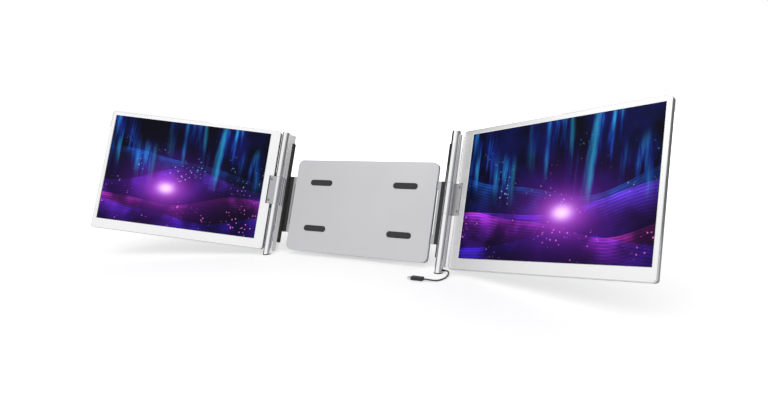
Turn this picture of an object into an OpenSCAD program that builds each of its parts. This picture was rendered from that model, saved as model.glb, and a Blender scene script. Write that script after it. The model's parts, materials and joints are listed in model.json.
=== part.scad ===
// Laptop screen extender: a telescopic back frame with two fold-out displays.
// Millimetres. +X is the viewer's right, -Y faces the viewer, +Z is up.
// The model is drawn upright, with the front of the back frame on y = 0 and the
// bottom edge of the displays on z = 0, and stance() then leans it back.

/* [Displays] */
// Width of the picture area
picture_w = 338.2; // [250:0.1:345]
// Height of the picture area
picture_h = 225.5; // [180:0.1:235]
// Bezel beside the hinge
bezel_hinge_side = 20; // [14:0.5:30]
// Bezel on the side away from the hinge
bezel_outer_side = 7.5; // [5:0.5:12]
// Bezel above the picture
bezel_top = 7; // [5:0.5:14]
// Bezel below the picture
bezel_bottom = 19.5; // [12:0.5:30]
// Thickness of a display
panel_t = 11; // [10:0.5:14]
// Radius of the display's corners
panel_corner_r = 7; // [3:0.5:12]
// Radius along the back edges of a display
panel_edge_r = 3.5; // [1:0.5:5]
// Wall of the back cover
cover_wall = 1.4; // [1:0.1:2]
// Thickness of the front bezel
bezel_t = 2.2; // [1.6:0.1:3]
// Thickness of the display module behind the bezel
module_t = 4; // [3:0.1:4.4]
// How far the glass sits below the bezel
glass_recess = 0.7; // [0.3:0.1:1.2]

/* [Columns] */
// Distance between the two hinge axes
axis_spacing = 386; // [386:1:430]
// Hinge axis in front of the back frame
axis_forward = 15; // [14:0.5:20]
// Diameter of the round column
column_d = 16.4; // [14:0.1:18]
// Bore that lightens the column
column_bore_d = 11; // [8:0.1:12]
// Reach of the column's fin from the axis
fin_reach = 13; // [11:0.5:15]
// Thickness of the fin
fin_t = 4; // [3:0.1:5]
// Corner radius of the fin
fin_corner_r = 4; // [2:0.5:6]
// Width of the rear rib that carries the column
rib_w = 10.5; // [8:0.5:12]
// Length of the foot below the column, on its axis
foot_drop = 8; // [6:0.5:12]
// Thickness of the rubber sole
sole_t = 2; // [1.5:0.1:3]
// Thickness of the column's top cap
cap_t = 2; // [1.5:0.1:4]

/* [Hinges] */
// Height of the hinge leaf
leaf_h = 58; // [40:1:80]
// Thickness of the hinge leaf
leaf_t = 3; // [2.5:0.1:4]
// How far the leaf reaches into the display
leaf_grip = 7.5; // [7:0.5:12]
// Diameter of the hinge pin
pin_d = 6; // [4:0.1:7]
// How far the pin reaches into the column at each end
pin_seat = 12; // [8:1:20]
// Forward swing of each display at rest, in degrees
rest_swing = 22; // [0:1:60]

/* [Back frame] */
// Width of the back frame
frame_w = 320; // [300:1:330]
// Height of the back frame
frame_h = 190; // [170:1:210]
// Bottom of the back frame above the displays' bottom edge
frame_z = 8; // [6:1:20]
// Thickness of the front plate
plate_t = 2; // [1.5:0.1:3]
// Depth of the back frame behind its front face
frame_depth = 12; // [11:0.1:16]
// Corner radius of the back frame
frame_corner_r = 12; // [6:1:20]
// Thickness of the rubber pads behind the laptop's lid
pad_t = 1; // [0.8:0.1:2]
// Thickness of the sliding arm plates
arm_t = 3; // [2.5:0.1:3.5]
// Height of the sliding arm plates
arm_h = 118; // [90:1:130]
// Outward travel of each arm
arm_travel = 20; // [10:1:24]

/* [Kickstand] */
// Width of the kickstand
stand_w = 120; // [80:1:140]
// Thickness of the kickstand
stand_t = 2.6; // [2:0.1:3]
// Height of the kickstand's pivot above the displays' bottom edge
stand_pivot_z = 172; // [160:1:180]
// Opening angle of the kickstand, in degrees
stand_open = 40; // [36:1:46]
// Diameter of the kickstand's pin
stand_pin_d = 3; // [2:0.1:3]

/* [Buttons and port] */
// Length of a button
button_w = 10; // [6:0.5:14]
// Height of a button
button_h = 4.6; // [3:0.1:6]
// Travel of a button
button_travel = 0.5; // [0.3:0.1:0.6]
// How far a button stands out
button_stand = 0.9; // [0.7:0.1:1.5]
// Distance between buttons
button_pitch = 16; // [13:1:25]
// Width of the power socket's opening
socket_w = 9.2; // [8.9:0.1:9.6]
// Height of the power socket's opening
socket_h = 3.4; // [3:0.1:3.8]

/* [Lead] */
// Diameter of the lead
lead_d = 2.8; // [2.4:0.1:3.4]
// Length of the plug's body
plug_l = 22; // [16:1:30]
// Width of the plug's body
plug_w = 11; // [9.6:0.1:13]
// Height of the plug's body
plug_h = 6.4; // [5:0.1:8]
// Length of the plug's metal shell
plug_shell_l = 6.6; // [6:0.1:8]

/* [Stance] */
// How far the whole object leans back, in degrees
lean = 22.5; // [15:0.5:27]

/* [Fits] */
// Gap between parts that move past each other
run_gap = 0.4; // [0.3:0.05:0.6]
// Radial clearance of a pin in its bore
pin_fit = 0.05; // [0.02:0.01:0.1]
// Gap round parts that drop into a seat
seat_gap = 0.2; // [0.1:0.05:0.4]

/* [Hidden] */
$fn = 48;
cut = 1;

// Displays, measured outwards from the hinge axis and forwards from it
panel_w = bezel_hinge_side + picture_w + bezel_outer_side;
panel_h = bezel_bottom + picture_h + bezel_top;
column_r = column_d / 2;
panel_edge_gap = 0.8;
right_edge_gap = 1.4;
// The left display's face is flush with the front of its column, the right one's lies
// behind its column: folded, the left one drops between the columns and the right one
// closes over it.
left_edge = column_r + panel_edge_gap;
right_edge = fin_reach + right_edge_gap;
left_face = column_r;
right_face = -7;
floor_t = cover_wall;
bezel_edge_r = 0.6;
window_r = 1.2;
module_lap = 4;

// Pieces inside each display, from its inner bottom corner
socket_inset = 60;
socket_x = panel_w - socket_inset;
socket_gap = 0.4;
socket_wall = 0.3;
socket_l = 7;
socket_rise = 1.6;
socket_back_t = 0.5;
tongue_t = 0.7;
speaker_w = 30;
speaker_h = 15;
speaker_t = 2.6;
speaker_x = 40;
speaker_z = 54;
slot_count = 6;
slot_pitch = 4.6;
sound_slot_w = 1.6;
slot_inset = 3;
speaker_wall = 2;
speaker_cone_drop = 1;
inner_rib_t = 1.2;
rib_heights = [0.3, 0.5, 0.7];
rib_places = [0.25, 0.5, 0.75];
rib_margin = 0.1;
board_w = 96;
board_h = 34;
board_t = 1;
board_inset = 118;
board_x = panel_w - board_inset;
board_z = 14;
post_d = 5;
post_inset = 5;
chips = [[14, 16, 12], [34, 18, 8]];
chip_t = 1.2;

// Buttons and the switches they press
button_inset = 46;
button_x = panel_w - button_inset;
button_z = 26;
button_gap = 0.3;
button_flange = 0.8;
button_flange_t = 0.4;
button_stem_d = 2;
button_nub_l = 0.2;
press_gap = 0.3;
switch_w = 4;
switch_t = 0.5;
board_lift = button_flange_t + button_nub_l + button_travel + press_gap + switch_t;

// Columns
half_spacing = axis_spacing / 2;
column_h = panel_h - cap_t;
fin_front = -column_r + fin_t;
fin_end_gap = 3;
rib_outer = 1.5;
rib_inner = rib_outer + rib_w;
rib_side_inset = 0.7;
rib_side = column_r - rib_side_inset;
rib_front_gap = 0.8;
rib_front = axis_forward - column_r - rib_front_gap;
cap_plug_l = 6;
gap_h = leaf_h + 2 * run_gap;
gap_z = (panel_h - gap_h) / 2;
leaf_z = (panel_h - leaf_h) / 2;
liner_t = 3;
liner_x = half_spacing - rib_inner - liner_t;
liner_z = 20;
liner_step = 0.2;
liner_flap_w = 9;
liner_flap_t = 1.2;
liner_ridges = 4;
liner_ridge_r = 0.5;
liner_ridge_pitch = 1.5;
pin_end_gap = 0.5;

// Hinge leaf
slot_w = 2;
leaf_screw_d = 2.5;
leaf_screw_l = 5;
leaf_head_d = 4.4;
leaf_screw_inset = 7;
leaf_screw_x = leaf_grip / 2;
leaf_screw_zs = [leaf_screw_inset, leaf_h - leaf_screw_inset];
block_rise = 8;
block_side = 3;

// Back frame
arm_y = plate_t + run_gap;
arm_back = arm_y + arm_t;
frame_mid_z = frame_z + frame_h / 2;
arm_z = frame_mid_z - arm_h / 2;
arm_overlap = 78;
arm_inner_x = frame_w / 2 - arm_overlap - arm_travel;
arm_window_w = 38;
arm_window_pitch = 50;
arm_border = 14;
arm_corner_r = 5;
arm_tongue_l = 24;
arm_tongue_h = 14;
spring_height = 0.72;
spring_z = frame_z + spring_height * frame_h;
spring_y = arm_y + arm_t / 2;
spring_coil_r = 1.3;
spring_wire = 0.5;
spring_gap = 0.3;
spring_post_d = 5;
spring_base_d = 12;
spring_base_t = 0.8;
hook_hole_d = 3;
rail_h = 5;
hub_w = 48;
hub_h = 60;
hub_t = 1.6;
hub_rise = 50;
hub_chip_w = 14;
hub_chip_t = 1;
hub_chip_zs = [8, 34];
cover_t = 2;
cover_edge_r = 4;
frame_boss_d = 8;
standoff_h = 3;
standoff_root_d = 5;
standoff_floor = 0.5;
plate_skin = 0.8;
frame_screw_inset = 11;
frame_screw_mid_x = 72;
pad_w = 52;
pad_h = 12;
pad_sink = 0.5;
pad_place = 0.3;
pad_heights = [0.25, 0.75];
recess_side = 3;
recess_floor = arm_back + run_gap;
recess_t = 2;
recess_skin = 0.1;
recess_top = 8;
stand_y = recess_floor + recess_t + run_gap;
stand_axis_y = stand_y + stand_t / 2;
knuckle_r = 3;
bracket_l = 7;
knuckle_l = 14;
knuckle_root = 8;
bracket_x = stand_w / 2 - bracket_l;
knuckle_x = bracket_x - run_gap - knuckle_l;
stand_corner_r = 8;
stand_border = 22;
stand_low_border = 52;
stand_top_border = 34;
screw_head_d = 5;
screw_head_t = 1.2;
screw_d = 2.6;
arm_screw_spots = [
    for (i = [0 : 3])
        [half_spacing - rib_inner + rib_w / 2, arm_z + arm_border + i * (arm_h - 2 * arm_border) / 3]
];
frame_screw_spots = [
    for (x = [-1, 1]) for (z = [frame_z + frame_screw_inset, frame_z + frame_h - frame_screw_inset])
        [x * (frame_w / 2 - frame_screw_inset), z],
    for (x = [-1, 1]) [x * frame_screw_mid_x, frame_z + frame_h - frame_screw_inset]
];

// Stance: the feet's soles and the kickstand's foot share one level
ground = foot_drop * cos(lean) - axis_forward * sin(lean);
pivot_height = stand_pivot_z * cos(lean) - stand_axis_y * sin(lean) + ground;
stand_foot_r = 2.4;
stand_steep = stand_open - lean;
stand_l = (pivot_height - stand_foot_r) / cos(stand_steep);

// Reach of the displays, for the origin under the middle of the whole object
right_reach = half_spacing + (right_edge + panel_w) * cos(rest_swing)
    - (right_face - panel_t) * sin(rest_swing);
left_reach = half_spacing + (left_edge + panel_w) * cos(rest_swing)
    - (left_face - panel_t) * sin(rest_swing);
front_reach = (axis_forward + (left_edge + panel_w) * sin(rest_swing)
    + left_face * cos(rest_swing)) * cos(lean) - panel_corner_r / 2;
back_reach = stand_pivot_z * sin(lean) + stand_axis_y * cos(lean)
    + stand_l * sin(stand_steep) + stand_foot_r;
origin_x = (right_reach - left_reach) / 2;
origin_y = (back_reach - front_reach) / 2;

// Lead, in the leaned frame: it leaves the right column's foot sideways
gland_d = 4.6;
gland_l = 5;
gland_z = 5.2;
gland_root_l = 3;
gland_seat_l = 2;
column_foot_x = half_spacing - origin_x;
column_foot_y = -axis_forward * cos(lean) - foot_drop * sin(lean) - origin_y;
lead_exit_x = column_foot_x + column_r + gland_l;
lead_r = lead_d / 2;
// Route points, as distances from the lead's exit; the heights are above the floor
lead_route = [
    [0, 0, 5.2], [2.5, 0, 5.2], [5, -1, 4.9], [7.2, -3.4, 4.2], [8.8, -7, 3.3],
    [9.9, -11.5, 2.4], [10.6, -16.5, 1.8], [10.9, -22, 1.6], [10.8, -27.5, 1.6],
    [10.2, -32.5, 1.6], [8.8, -37.5, 1.6], [6.4, -42, 1.6], [3, -45.6, 1.7],
    [-1.4, -48, 2], [-6.5, -49.4, 2.6], [-11.5, -50, 3.1], [-16, -50, 3.2], [-20, -50, 3.2]
];
lead_end = lead_route[len(lead_route) - 1];
lead_rings = 4;
lead_sides = 8;
plug_corner_r = 2.4;
plug_play = 0.9;
shell_w = socket_w - plug_play;
shell_h = 2.4;
shell_wall = 0.3;
shell_root_l = 1.5;
shell_fit = 0.1;

// ---------- Placing ----------

// Leans the upright model back and stands it on the floor, over the origin.
module stance() {
    translate([-origin_x, -origin_y, ground]) rotate([-lean, 0, 0]) children();
}

// Draws the right-hand form as it is, or mirrored for the left (side = -1).
module on_side(side) {
    if (side < 0) mirror([1, 0, 0]) children();
    else children();
}

// Moves a part to the hinge axis of one side, with the column upright.
module at_column(side) {
    stance() on_side(side) translate([half_spacing, -axis_forward, 0]) children();
}

// Moves a display part to its hinge axis and swings it forward to rest.
module at_panel(side) {
    at_column(side) rotate([0, 0, -rest_swing]) children();
}

// Inner edge and front face of a display, from its hinge axis.
function edge_of(side) = side < 0 ? left_edge : right_edge;
function face_of(side) = side < 0 ? left_face : right_face;

// ---------- Shapes ----------

// Rectangle with round corners, built from true arcs.
module round_rect(w, h, r) {
    if (w > 2 * r) translate([r, 0]) square([w - 2 * r, h]);
    if (h > 2 * r) translate([0, r]) square([w, h - 2 * r]);
    for (x = [r, w - r]) for (z = [r, h - r]) translate([x, z]) circle(r = r);
}

// Extrudes a drawing of x and z backwards from y = front over a depth.
module plate_xz(front, depth) {
    translate([0, front + depth, 0]) rotate([90, 0, 0]) linear_extrude(depth) children();
}

// Slab whose far edges are round: w by h, from y = front backwards, corners corner_r.
module soft_slab(w, h, front, depth, corner_r, edge_r) {
    intersection() {
        plate_xz(front, depth) round_rect(w, h, corner_r);
        translate([0, 0, -cut]) linear_extrude(h + 2 * cut)
            soft_profile(w, front, depth, edge_r);
        translate([-cut, 0, 0]) rotate([90, 0, 90]) linear_extrude(w + 2 * cut)
            mirror_profile(h, front, depth, edge_r);
    }
}

// Profile of a slab, seen from above: round corners on the far side only.
module soft_profile(w, front, depth, r) {
    translate([0, front - cut]) square([w, depth + cut - r]);
    translate([r, front + depth - r - cut]) square([w - 2 * r, r + cut]);
    for (x = [r, w - r]) translate([x, front + depth - r]) circle(r = r);
}

// The same profile drawn for the vertical section, with y as its first axis.
module mirror_profile(h, front, depth, r) {
    translate([front - cut, 0]) square([depth + cut - r, h]);
    translate([front + depth - r - cut, r]) square([r + cut, h - 2 * r]);
    for (z = [r, h - r]) translate([front + depth - r, z]) circle(r = r);
}

// Slab whose near edges are round, made by turning the one above about.
module soft_front_slab(w, h, front, depth, corner_r, edge_r) {
    translate([w, 2 * front + depth, 0]) rotate([0, 0, 180])
        soft_slab(w, h, front, depth, corner_r, edge_r);
}

// Screw with a flat round head; the head lies on y = 0 and the shank runs to -y.
module flat_screw(head_d, head_t, shank_d, shank_l) {
    rotate([90, 0, 0]) {
        translate([0, 0, -head_t]) cylinder(d = head_d, h = head_t);
        cylinder(d = shank_d, h = shank_l);
    }
}

// ---------- Columns ----------

// Round tube with a fin and a rear rib, cut away where the hinge barrel turns.
module column(side) {
    at_column(side) difference() {
        union() {
            cylinder(r = column_r, h = column_h);
            column_fin();
            column_rib();
        }
        column_gap();
        column_bores();
    }
}

module column_fin() {
    fin_h = column_h - 2 * fin_end_gap;
    translate([0, -fin_front, fin_end_gap]) plate_xz(0, fin_t)
        round_rect(fin_reach, fin_h, fin_corner_r);
}

// The rib runs the full height behind the tube and carries the arm plate.
module column_rib() {
    rib_back = axis_forward + arm_y;
    translate([-rib_inner, axis_forward - rib_front, 0])
        cube([rib_w, rib_back - axis_forward + rib_front, column_h]);
    translate([-rib_side, 0, 0]) cube([rib_side - rib_outer, rib_back, column_h]);
}

module column_gap() {
    gap_back = axis_forward - rib_front;
    translate([-column_r - cut, -column_r - cut, gap_z])
        cube([column_r + fin_reach + 2 * cut, column_r + cut + gap_back, gap_h]);
}

module column_bores() {
    for (low = [-cut, gap_z + gap_h + pin_seat])
        translate([0, 0, low]) cylinder(d = column_bore_d, h = bore_length(low));
    translate([0, 0, gap_z - pin_seat - cut])
        cylinder(d = pin_d + 2 * pin_fit, h = gap_h + 2 * pin_seat + 2 * cut);
}

function bore_length(low) = low < 0 ? gap_z - pin_seat + cut : column_h - low + cut;

module column_top_cap(side) {
    at_column(side) translate([0, 0, column_h]) rotate_extrude() {
        square([column_r - cap_t / 2, cap_t]);
        square([column_r, cap_t / 2]);
        translate([column_r - cap_t / 2, cap_t / 2]) circle(d = cap_t);
        translate([0, -cap_plug_l]) square([column_bore_d / 2 - pin_fit, cap_plug_l + cap_t / 2]);
    }
}

// Foot cap: a plug in the tube and a round end cut level with the floor.
module column_foot(side) {
    difference() {
        at_column(side) union() {
            translate([0, 0, -3 * foot_drop]) cylinder(r = column_r, h = 3 * foot_drop);
            translate([0, 0, -cut])
                cylinder(d = column_bore_d - 2 * pin_fit, h = cap_plug_l + cut);
        }
        floor_block(sole_t);
        if (side > 0) gland_seat();
    }
}

// Everything below a level above the floor.
module floor_block(level) {
    translate([-axis_spacing, -axis_spacing / 2, level - axis_spacing])
        cube([2 * axis_spacing, axis_spacing, axis_spacing]);
}

module column_sole(side) {
    intersection() {
        at_column(side) translate([0, 0, -3 * foot_drop])
            cylinder(r = column_r - seat_gap, h = 3 * foot_drop);
        translate([-axis_spacing, -axis_spacing / 2, 0])
            cube([2 * axis_spacing, axis_spacing, sole_t]);
    }
}

// Rubber strip that grips the edge of the laptop's lid.
module grip_liner(side) {
    stance() on_side(side) {
        translate([liner_x, -rib_front + liner_step, liner_z])
            cube([liner_t, rib_front - liner_step + arm_y, panel_h - 2 * liner_z]);
        translate([liner_x - liner_flap_w, arm_y - liner_flap_t, arm_z])
            cube([liner_flap_w + cut, liner_flap_t, arm_h]);
        for (i = [0 : liner_ridges - 1])
            translate([liner_x, -rib_front + (i + 1) * liner_ridge_pitch, liner_z])
                cylinder(r = liner_ridge_r, h = panel_h - 2 * liner_z);
    }
}

module hinge_pin(side) {
    at_column(side) translate([0, 0, gap_z - pin_seat + pin_end_gap])
        cylinder(d = pin_d, h = gap_h + 2 * pin_seat - 2 * pin_end_gap);
}

// ---------- Hinge leaf ----------

// Barrel on the pin, with a flat leaf that lies in the display's notch.
module hinge_leaf(side) {
    leaf_front = face_of(side);
    reach = edge_of(side) + leaf_grip;
    at_panel(side) translate([0, 0, leaf_z]) difference() {
        union() {
            cylinder(r = column_r, h = leaf_h);
            translate([0, -leaf_front, 0]) cube([reach - leaf_t / 2, leaf_t, leaf_h]);
            translate([reach - leaf_t / 2, leaf_t / 2 - leaf_front, 0])
                cylinder(d = leaf_t, h = leaf_h);
        }
        translate([0, 0, -cut]) cylinder(d = pin_d + 2 * pin_fit, h = leaf_h + 2 * cut);
        for (z = leaf_screw_zs)
            translate([edge_of(side) + leaf_screw_x, -leaf_front + leaf_t, z])
                leaf_screw_hole();
    }
}

module leaf_screw_hole() {
    rotate([90, 0, 0]) {
        translate([0, 0, -cut]) cylinder(d = leaf_screw_d + 2 * seat_gap, h = leaf_t + 2 * cut);
        translate([0, 0, leaf_t - screw_head_t])
            cylinder(d = leaf_head_d + 2 * seat_gap, h = screw_head_t + cut);
    }
}

module leaf_screws(side) {
    for (z = leaf_screw_zs)
        at_panel(side)
            translate([edge_of(side) + leaf_screw_x, -face_of(side) + screw_head_t, leaf_z + z])
                leaf_screw();
}

module leaf_screw() {
    rotate([90, 0, 0]) {
        cylinder(d = leaf_head_d, h = screw_head_t - seat_gap);
        translate([0, 0, -leaf_screw_l])
            cylinder(d = leaf_screw_d, h = leaf_screw_l + seat_gap);
    }
}

// ---------- Displays ----------

// Tray that forms the back and the side walls of a display.
module back_cover(side) {
    e = edge_of(side);
    front = -face_of(side) + bezel_t;
    depth = panel_t - bezel_t;
    back = front + depth;
    at_panel(side) translate([e, 0, 0]) difference() {
        union() {
            difference() {
                soft_slab(panel_w, panel_h, front, depth, panel_corner_r, panel_edge_r);
                cover_cavity(front, depth);
            }
            leaf_block(front, depth);
            cover_ribs(front, back);
            board_posts(back);
        }
        leaf_notch(-face_of(side));
        for (z = leaf_screw_zs)
            translate([leaf_screw_x, -face_of(side) + leaf_t - cut, leaf_z + z])
                rotate([-90, 0, 0])
                    cylinder(d = leaf_screw_d + 2 * pin_fit, h = leaf_screw_l - 1 + cut);
        for (i = [-1 : 1])
            translate([button_x + i * button_pitch, back, button_z]) button_hole();
        socket_hole(front);
        speaker_slots(back);
    }
}

module cover_cavity(front, depth) {
    inner_r = panel_corner_r - cover_wall;
    translate([cover_wall, 0, cover_wall]) plate_xz(front - cut, depth - floor_t + cut)
        round_rect(panel_w - 2 * cover_wall, panel_h - 2 * cover_wall, inner_r);
}

// Solid block in the cover that the hinge leaf is screwed to.
module leaf_block(front, depth) {
    translate([seat_gap, front, leaf_z - block_rise])
        cube([leaf_grip + slot_w + block_side, depth - floor_t / 2, leaf_h + 2 * block_rise]);
}

// Recess for the leaf, open towards the hinge and to the front.
module leaf_notch(face_y) {
    translate([-cut, face_y - cut, leaf_z - run_gap])
        cube([leaf_grip + slot_w + cut, leaf_t + cut, leaf_h + 2 * run_gap]);
}

// Ribs behind the display module keep it pressed to the bezel.
module cover_ribs(front, back) {
    rib_top = front + module_t + pin_fit;
    rib_depth = back - rib_top - floor_t / 2;
    low = rib_heights[0] * panel_h;
    high = rib_heights[len(rib_heights) - 1] * panel_h;
    for (z = rib_heights)
        translate([bezel_hinge_side + rib_margin * picture_w, rib_top, z * panel_h])
            cube([(1 - 2 * rib_margin) * picture_w, rib_depth, inner_rib_t]);
    for (x = rib_places)
        translate([bezel_hinge_side + x * picture_w, rib_top, low])
            cube([inner_rib_t, rib_depth, high - low]);
}

// Low posts under the driver board.
module board_posts(back) {
    for (x = [board_x + post_inset, board_x + board_w - post_inset])
        for (z = [board_z + post_inset, board_z + board_h - post_inset])
            translate([x, back - floor_t / 2, z]) rotate([90, 0, 0])
                cylinder(d = post_d, h = floor_t / 2 + board_lift);
}

module button_hole() {
    translate([-button_w / 2 - button_gap, -panel_t / 2, -button_h / 2 - button_gap])
        plate_xz(0, panel_t)
            round_rect(button_w + 2 * button_gap, button_h + 2 * button_gap, button_h / 2);
}

module socket_hole(front) {
    translate([socket_x, front + module_t / 2 + socket_rise - socket_gap, -cut])
        linear_extrude(cover_wall + 2 * cut)
            round_rect(socket_w + 2 * socket_gap, socket_h + 2 * socket_gap, socket_h / 2);
}

module speaker_slots(back) {
    for (x = [speaker_x, panel_w - speaker_x - speaker_w])
        for (i = [0 : slot_count - 1])
            translate([x + slot_inset + i * slot_pitch, back - floor_t - cut, speaker_z + slot_inset])
                plate_xz(0, floor_t + 2 * cut)
                    round_rect(sound_slot_w, speaker_h - 2 * slot_inset, sound_slot_w / 2);
}

// Front bezel: a frame with a stepped window that holds the glass.
module bezel(side) {
    at_panel(side) translate([edge_of(side), -face_of(side), 0]) difference() {
        soft_front_slab(panel_w, panel_h, 0, bezel_t, panel_corner_r, bezel_edge_r);
        translate([bezel_hinge_side, 0, bezel_bottom])
            plate_xz(-cut, bezel_t + 2 * cut) round_rect(picture_w, picture_h, window_r);
        leaf_notch(0);
    }
}

// Display module: a slab behind the bezel, with the glass standing in the window.
module display(side) {
    at_panel(side) translate([edge_of(side), -face_of(side), 0]) {
        translate([bezel_hinge_side - module_lap, bezel_t, bezel_bottom - module_lap])
            cube([picture_w + 2 * module_lap, module_t, picture_h + 2 * module_lap]);
        translate([bezel_hinge_side + seat_gap, glass_recess, bezel_bottom + seat_gap])
            plate_xz(0, bezel_t - glass_recess + cut)
                round_rect(picture_w - 2 * seat_gap, picture_h - 2 * seat_gap, window_r);
    }
}

// Driver board on its posts, with its chips and the three switches on the far face.
module driver_board(side) {
    floor_y = panel_t - floor_t - board_lift - board_t;
    at_panel(side) translate([edge_of(side), -face_of(side) + floor_y, 0]) {
        translate([board_x, 0, board_z]) cube([board_w, board_t, board_h]);
        for (chip = chips)
            translate([board_x + chip[0], board_t / 2, board_z + chip[1]])
                cube([chip[2], board_t / 2 + chip_t, chip[2]]);
        for (i = [-1 : 1])
            translate([button_x + i * button_pitch - switch_w / 2, board_t / 2,
                button_z - switch_w / 2])
                cube([switch_w, board_t / 2 + switch_t, switch_w]);
    }
}

// Speaker boxes, open towards the slots in the cover.
module speakers(side) {
    floor_y = panel_t - floor_t - speaker_t;
    for (x = [speaker_x, panel_w - speaker_x - speaker_w])
        at_panel(side) translate([edge_of(side) + x, -face_of(side) + floor_y, speaker_z])
            difference() {
                cube([speaker_w, speaker_t, speaker_h]);
                translate([speaker_wall, speaker_t - speaker_cone_drop, speaker_wall])
                    cube([speaker_w - 2 * speaker_wall, speaker_cone_drop + cut,
                        speaker_h - 2 * speaker_wall]);
            }
}

// Metal shell of the power socket, with its tongue, in the bottom edge.
module power_socket(side) {
    inner_w = socket_w - 2 * socket_wall;
    inner_h = socket_h - 2 * socket_wall;
    at_panel(side)
        translate([edge_of(side) + socket_x + socket_gap,
            -face_of(side) + bezel_t + module_t / 2 + socket_rise, seat_gap]) {
            difference() {
                linear_extrude(socket_l) round_rect(socket_w, socket_h, socket_h / 2 - seat_gap);
                translate([socket_wall, socket_wall, -cut])
                    linear_extrude(socket_l - socket_back_t + cut)
                        round_rect(inner_w, inner_h, inner_h / 2 - seat_gap);
            }
            translate([socket_w / 2 - inner_w / 3, socket_h / 2 - tongue_t / 2, cut])
                cube([inner_w / 1.5, tongue_t, socket_l - socket_back_t / 2 - cut]);
        }
}

// Oblong button in the back, with a flange inside and a nub that faces its switch.
module button(side, place) {
    back = -face_of(side) + panel_t;
    at_panel(side) translate([edge_of(side) + button_x + place * button_pitch, back, button_z]) {
        translate([-button_w / 2, -floor_t, -button_h / 2])
            plate_xz(0, floor_t + button_stand)
                round_rect(button_w, button_h, button_h / 2 - seat_gap);
        translate([-button_w / 2 - button_flange, -floor_t - button_flange_t,
            -button_h / 2 - button_flange])
            cube([button_w + 2 * button_flange, button_flange_t, button_h + 2 * button_flange]);
        translate([0, -floor_t, 0]) rotate([90, 0, 0])
            cylinder(d = button_stem_d, h = button_flange_t + button_nub_l);
    }
}

// ---------- Back frame ----------

// Front plate, with seats for the pads and for the pressed-in standoffs.
module frame_front_plate() {
    stance() difference() {
        translate([-frame_w / 2, 0, frame_z])
            plate_xz(0, plate_t) round_rect(frame_w, frame_h, frame_corner_r);
        for (x = [-1, 1]) for (z = pad_heights)
            translate([x * frame_w * pad_place - pad_w / 2, 0, frame_z + z * frame_h - pad_h / 2])
                plate_xz(-cut, cut + pad_sink) round_rect(pad_w, pad_h, pad_h / 2);
        for (p = frame_screw_spots) translate([p[0], plate_skin, p[1]]) rotate([-90, 0, 0])
            cylinder(d = standoff_root_d, h = plate_t);
        strip_room();
    }
}

// Room for the grip strips and their flaps, which a wide back frame would reach.
module strip_room() {
    ridge_x = liner_x - liner_ridge_r - run_gap;
    flap_x = liner_x - liner_flap_w - run_gap;
    depth = cut + arm_y + run_gap;
    for (side = [-1, 1]) on_side(side) {
        translate([ridge_x, -cut, liner_z - run_gap])
            cube([frame_w, depth, panel_h - 2 * liner_z + 2 * run_gap]);
        translate([flap_x, -cut, arm_z - run_gap]) cube([frame_w, depth, arm_h + 2 * run_gap]);
    }
}

// Threaded standoffs, pressed into the front plate, that the cover's screws run into.
module frame_standoffs() {
    for (p = frame_screw_spots)
        stance() translate([p[0], plate_skin, p[1]]) rotate([-90, 0, 0]) difference() {
            union() {
                cylinder(d = standoff_root_d, h = plate_t);
                translate([0, 0, plate_t - plate_skin])
                    cylinder(d = frame_boss_d, h = standoff_h);
            }
            translate([0, 0, standoff_floor]) cylinder(d = screw_d + 2 * pin_fit, h = frame_depth);
        }
}

// Rubber pads that the laptop's lid leans on, half sunk in the front plate.
module lid_pads() {
    for (x = [-1, 1]) for (z = pad_heights)
        stance()
            translate([x * frame_w * pad_place - pad_w / 2 + seat_gap, 0,
                frame_z + z * frame_h - pad_h / 2 + seat_gap])
                plate_xz(-pad_t, pad_t + pad_sink)
                    round_rect(pad_w - 2 * seat_gap, pad_h - 2 * seat_gap, pad_h / 2 - seat_gap);
}

// Rear shell with a recess for the kickstand and side mouths for the arms.
module frame_rear_cover() {
    depth = frame_depth - plate_t;
    inner_r = frame_corner_r - cover_t;
    boss_h = depth - standoff_h - cover_t / 2;
    stance() difference() {
        union() {
            difference() {
                translate([-frame_w / 2, 0, frame_z])
                    soft_slab(frame_w, frame_h, plate_t, depth, frame_corner_r, cover_edge_r);
                translate([-frame_w / 2 + cover_t, 0, frame_z + cover_t])
                    plate_xz(plate_t - cut, depth - cover_t + cut)
                        round_rect(frame_w - 2 * cover_t, frame_h - 2 * cover_t, inner_r);
            }
            recess_box(stand_w / 2 + recess_side, frame_z + recess_skin, stand_pivot_z + recess_top);
            for (p = frame_screw_spots)
                translate([p[0], plate_t + standoff_h, p[1]]) rotate([-90, 0, 0])
                    cylinder(d = frame_boss_d, h = boss_h);
        }
        recess_cut();
        arm_mouths();
        strip_room();
        for (p = frame_screw_spots) translate([p[0], 0, p[1]]) frame_screw_hole();
    }
}

// Block between the cover's floor and its rear face, which the recess is cut in.
module recess_box(half, low, high) {
    translate([-half, recess_floor, low])
        cube([2 * half, frame_depth - recess_floor - recess_skin, high - low]);
}

module recess_cut() {
    half = stand_w / 2 + run_gap;
    translate([-half, stand_y - run_gap, frame_z - cut])
        cube([2 * half, frame_depth, stand_pivot_z - frame_z + cut]);
    translate([-half, stand_axis_y, stand_pivot_z]) rotate([0, 90, 0])
        cylinder(r = knuckle_r + run_gap, h = 2 * half);
    translate([-half, stand_axis_y, stand_pivot_z - knuckle_r - run_gap])
        cube([2 * half, frame_depth, 2 * (knuckle_r + run_gap)]);
    translate([-half, stand_axis_y, stand_pivot_z - stand_l]) rotate([0, 90, 0])
        cylinder(r = stand_foot_r + run_gap, h = 2 * half);
}

module arm_mouths() {
    translate([-frame_w, plate_t - cut, arm_z - run_gap])
        cube([2 * frame_w, arm_t + 2 * run_gap + cut, arm_h + 2 * run_gap]);
}

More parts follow.
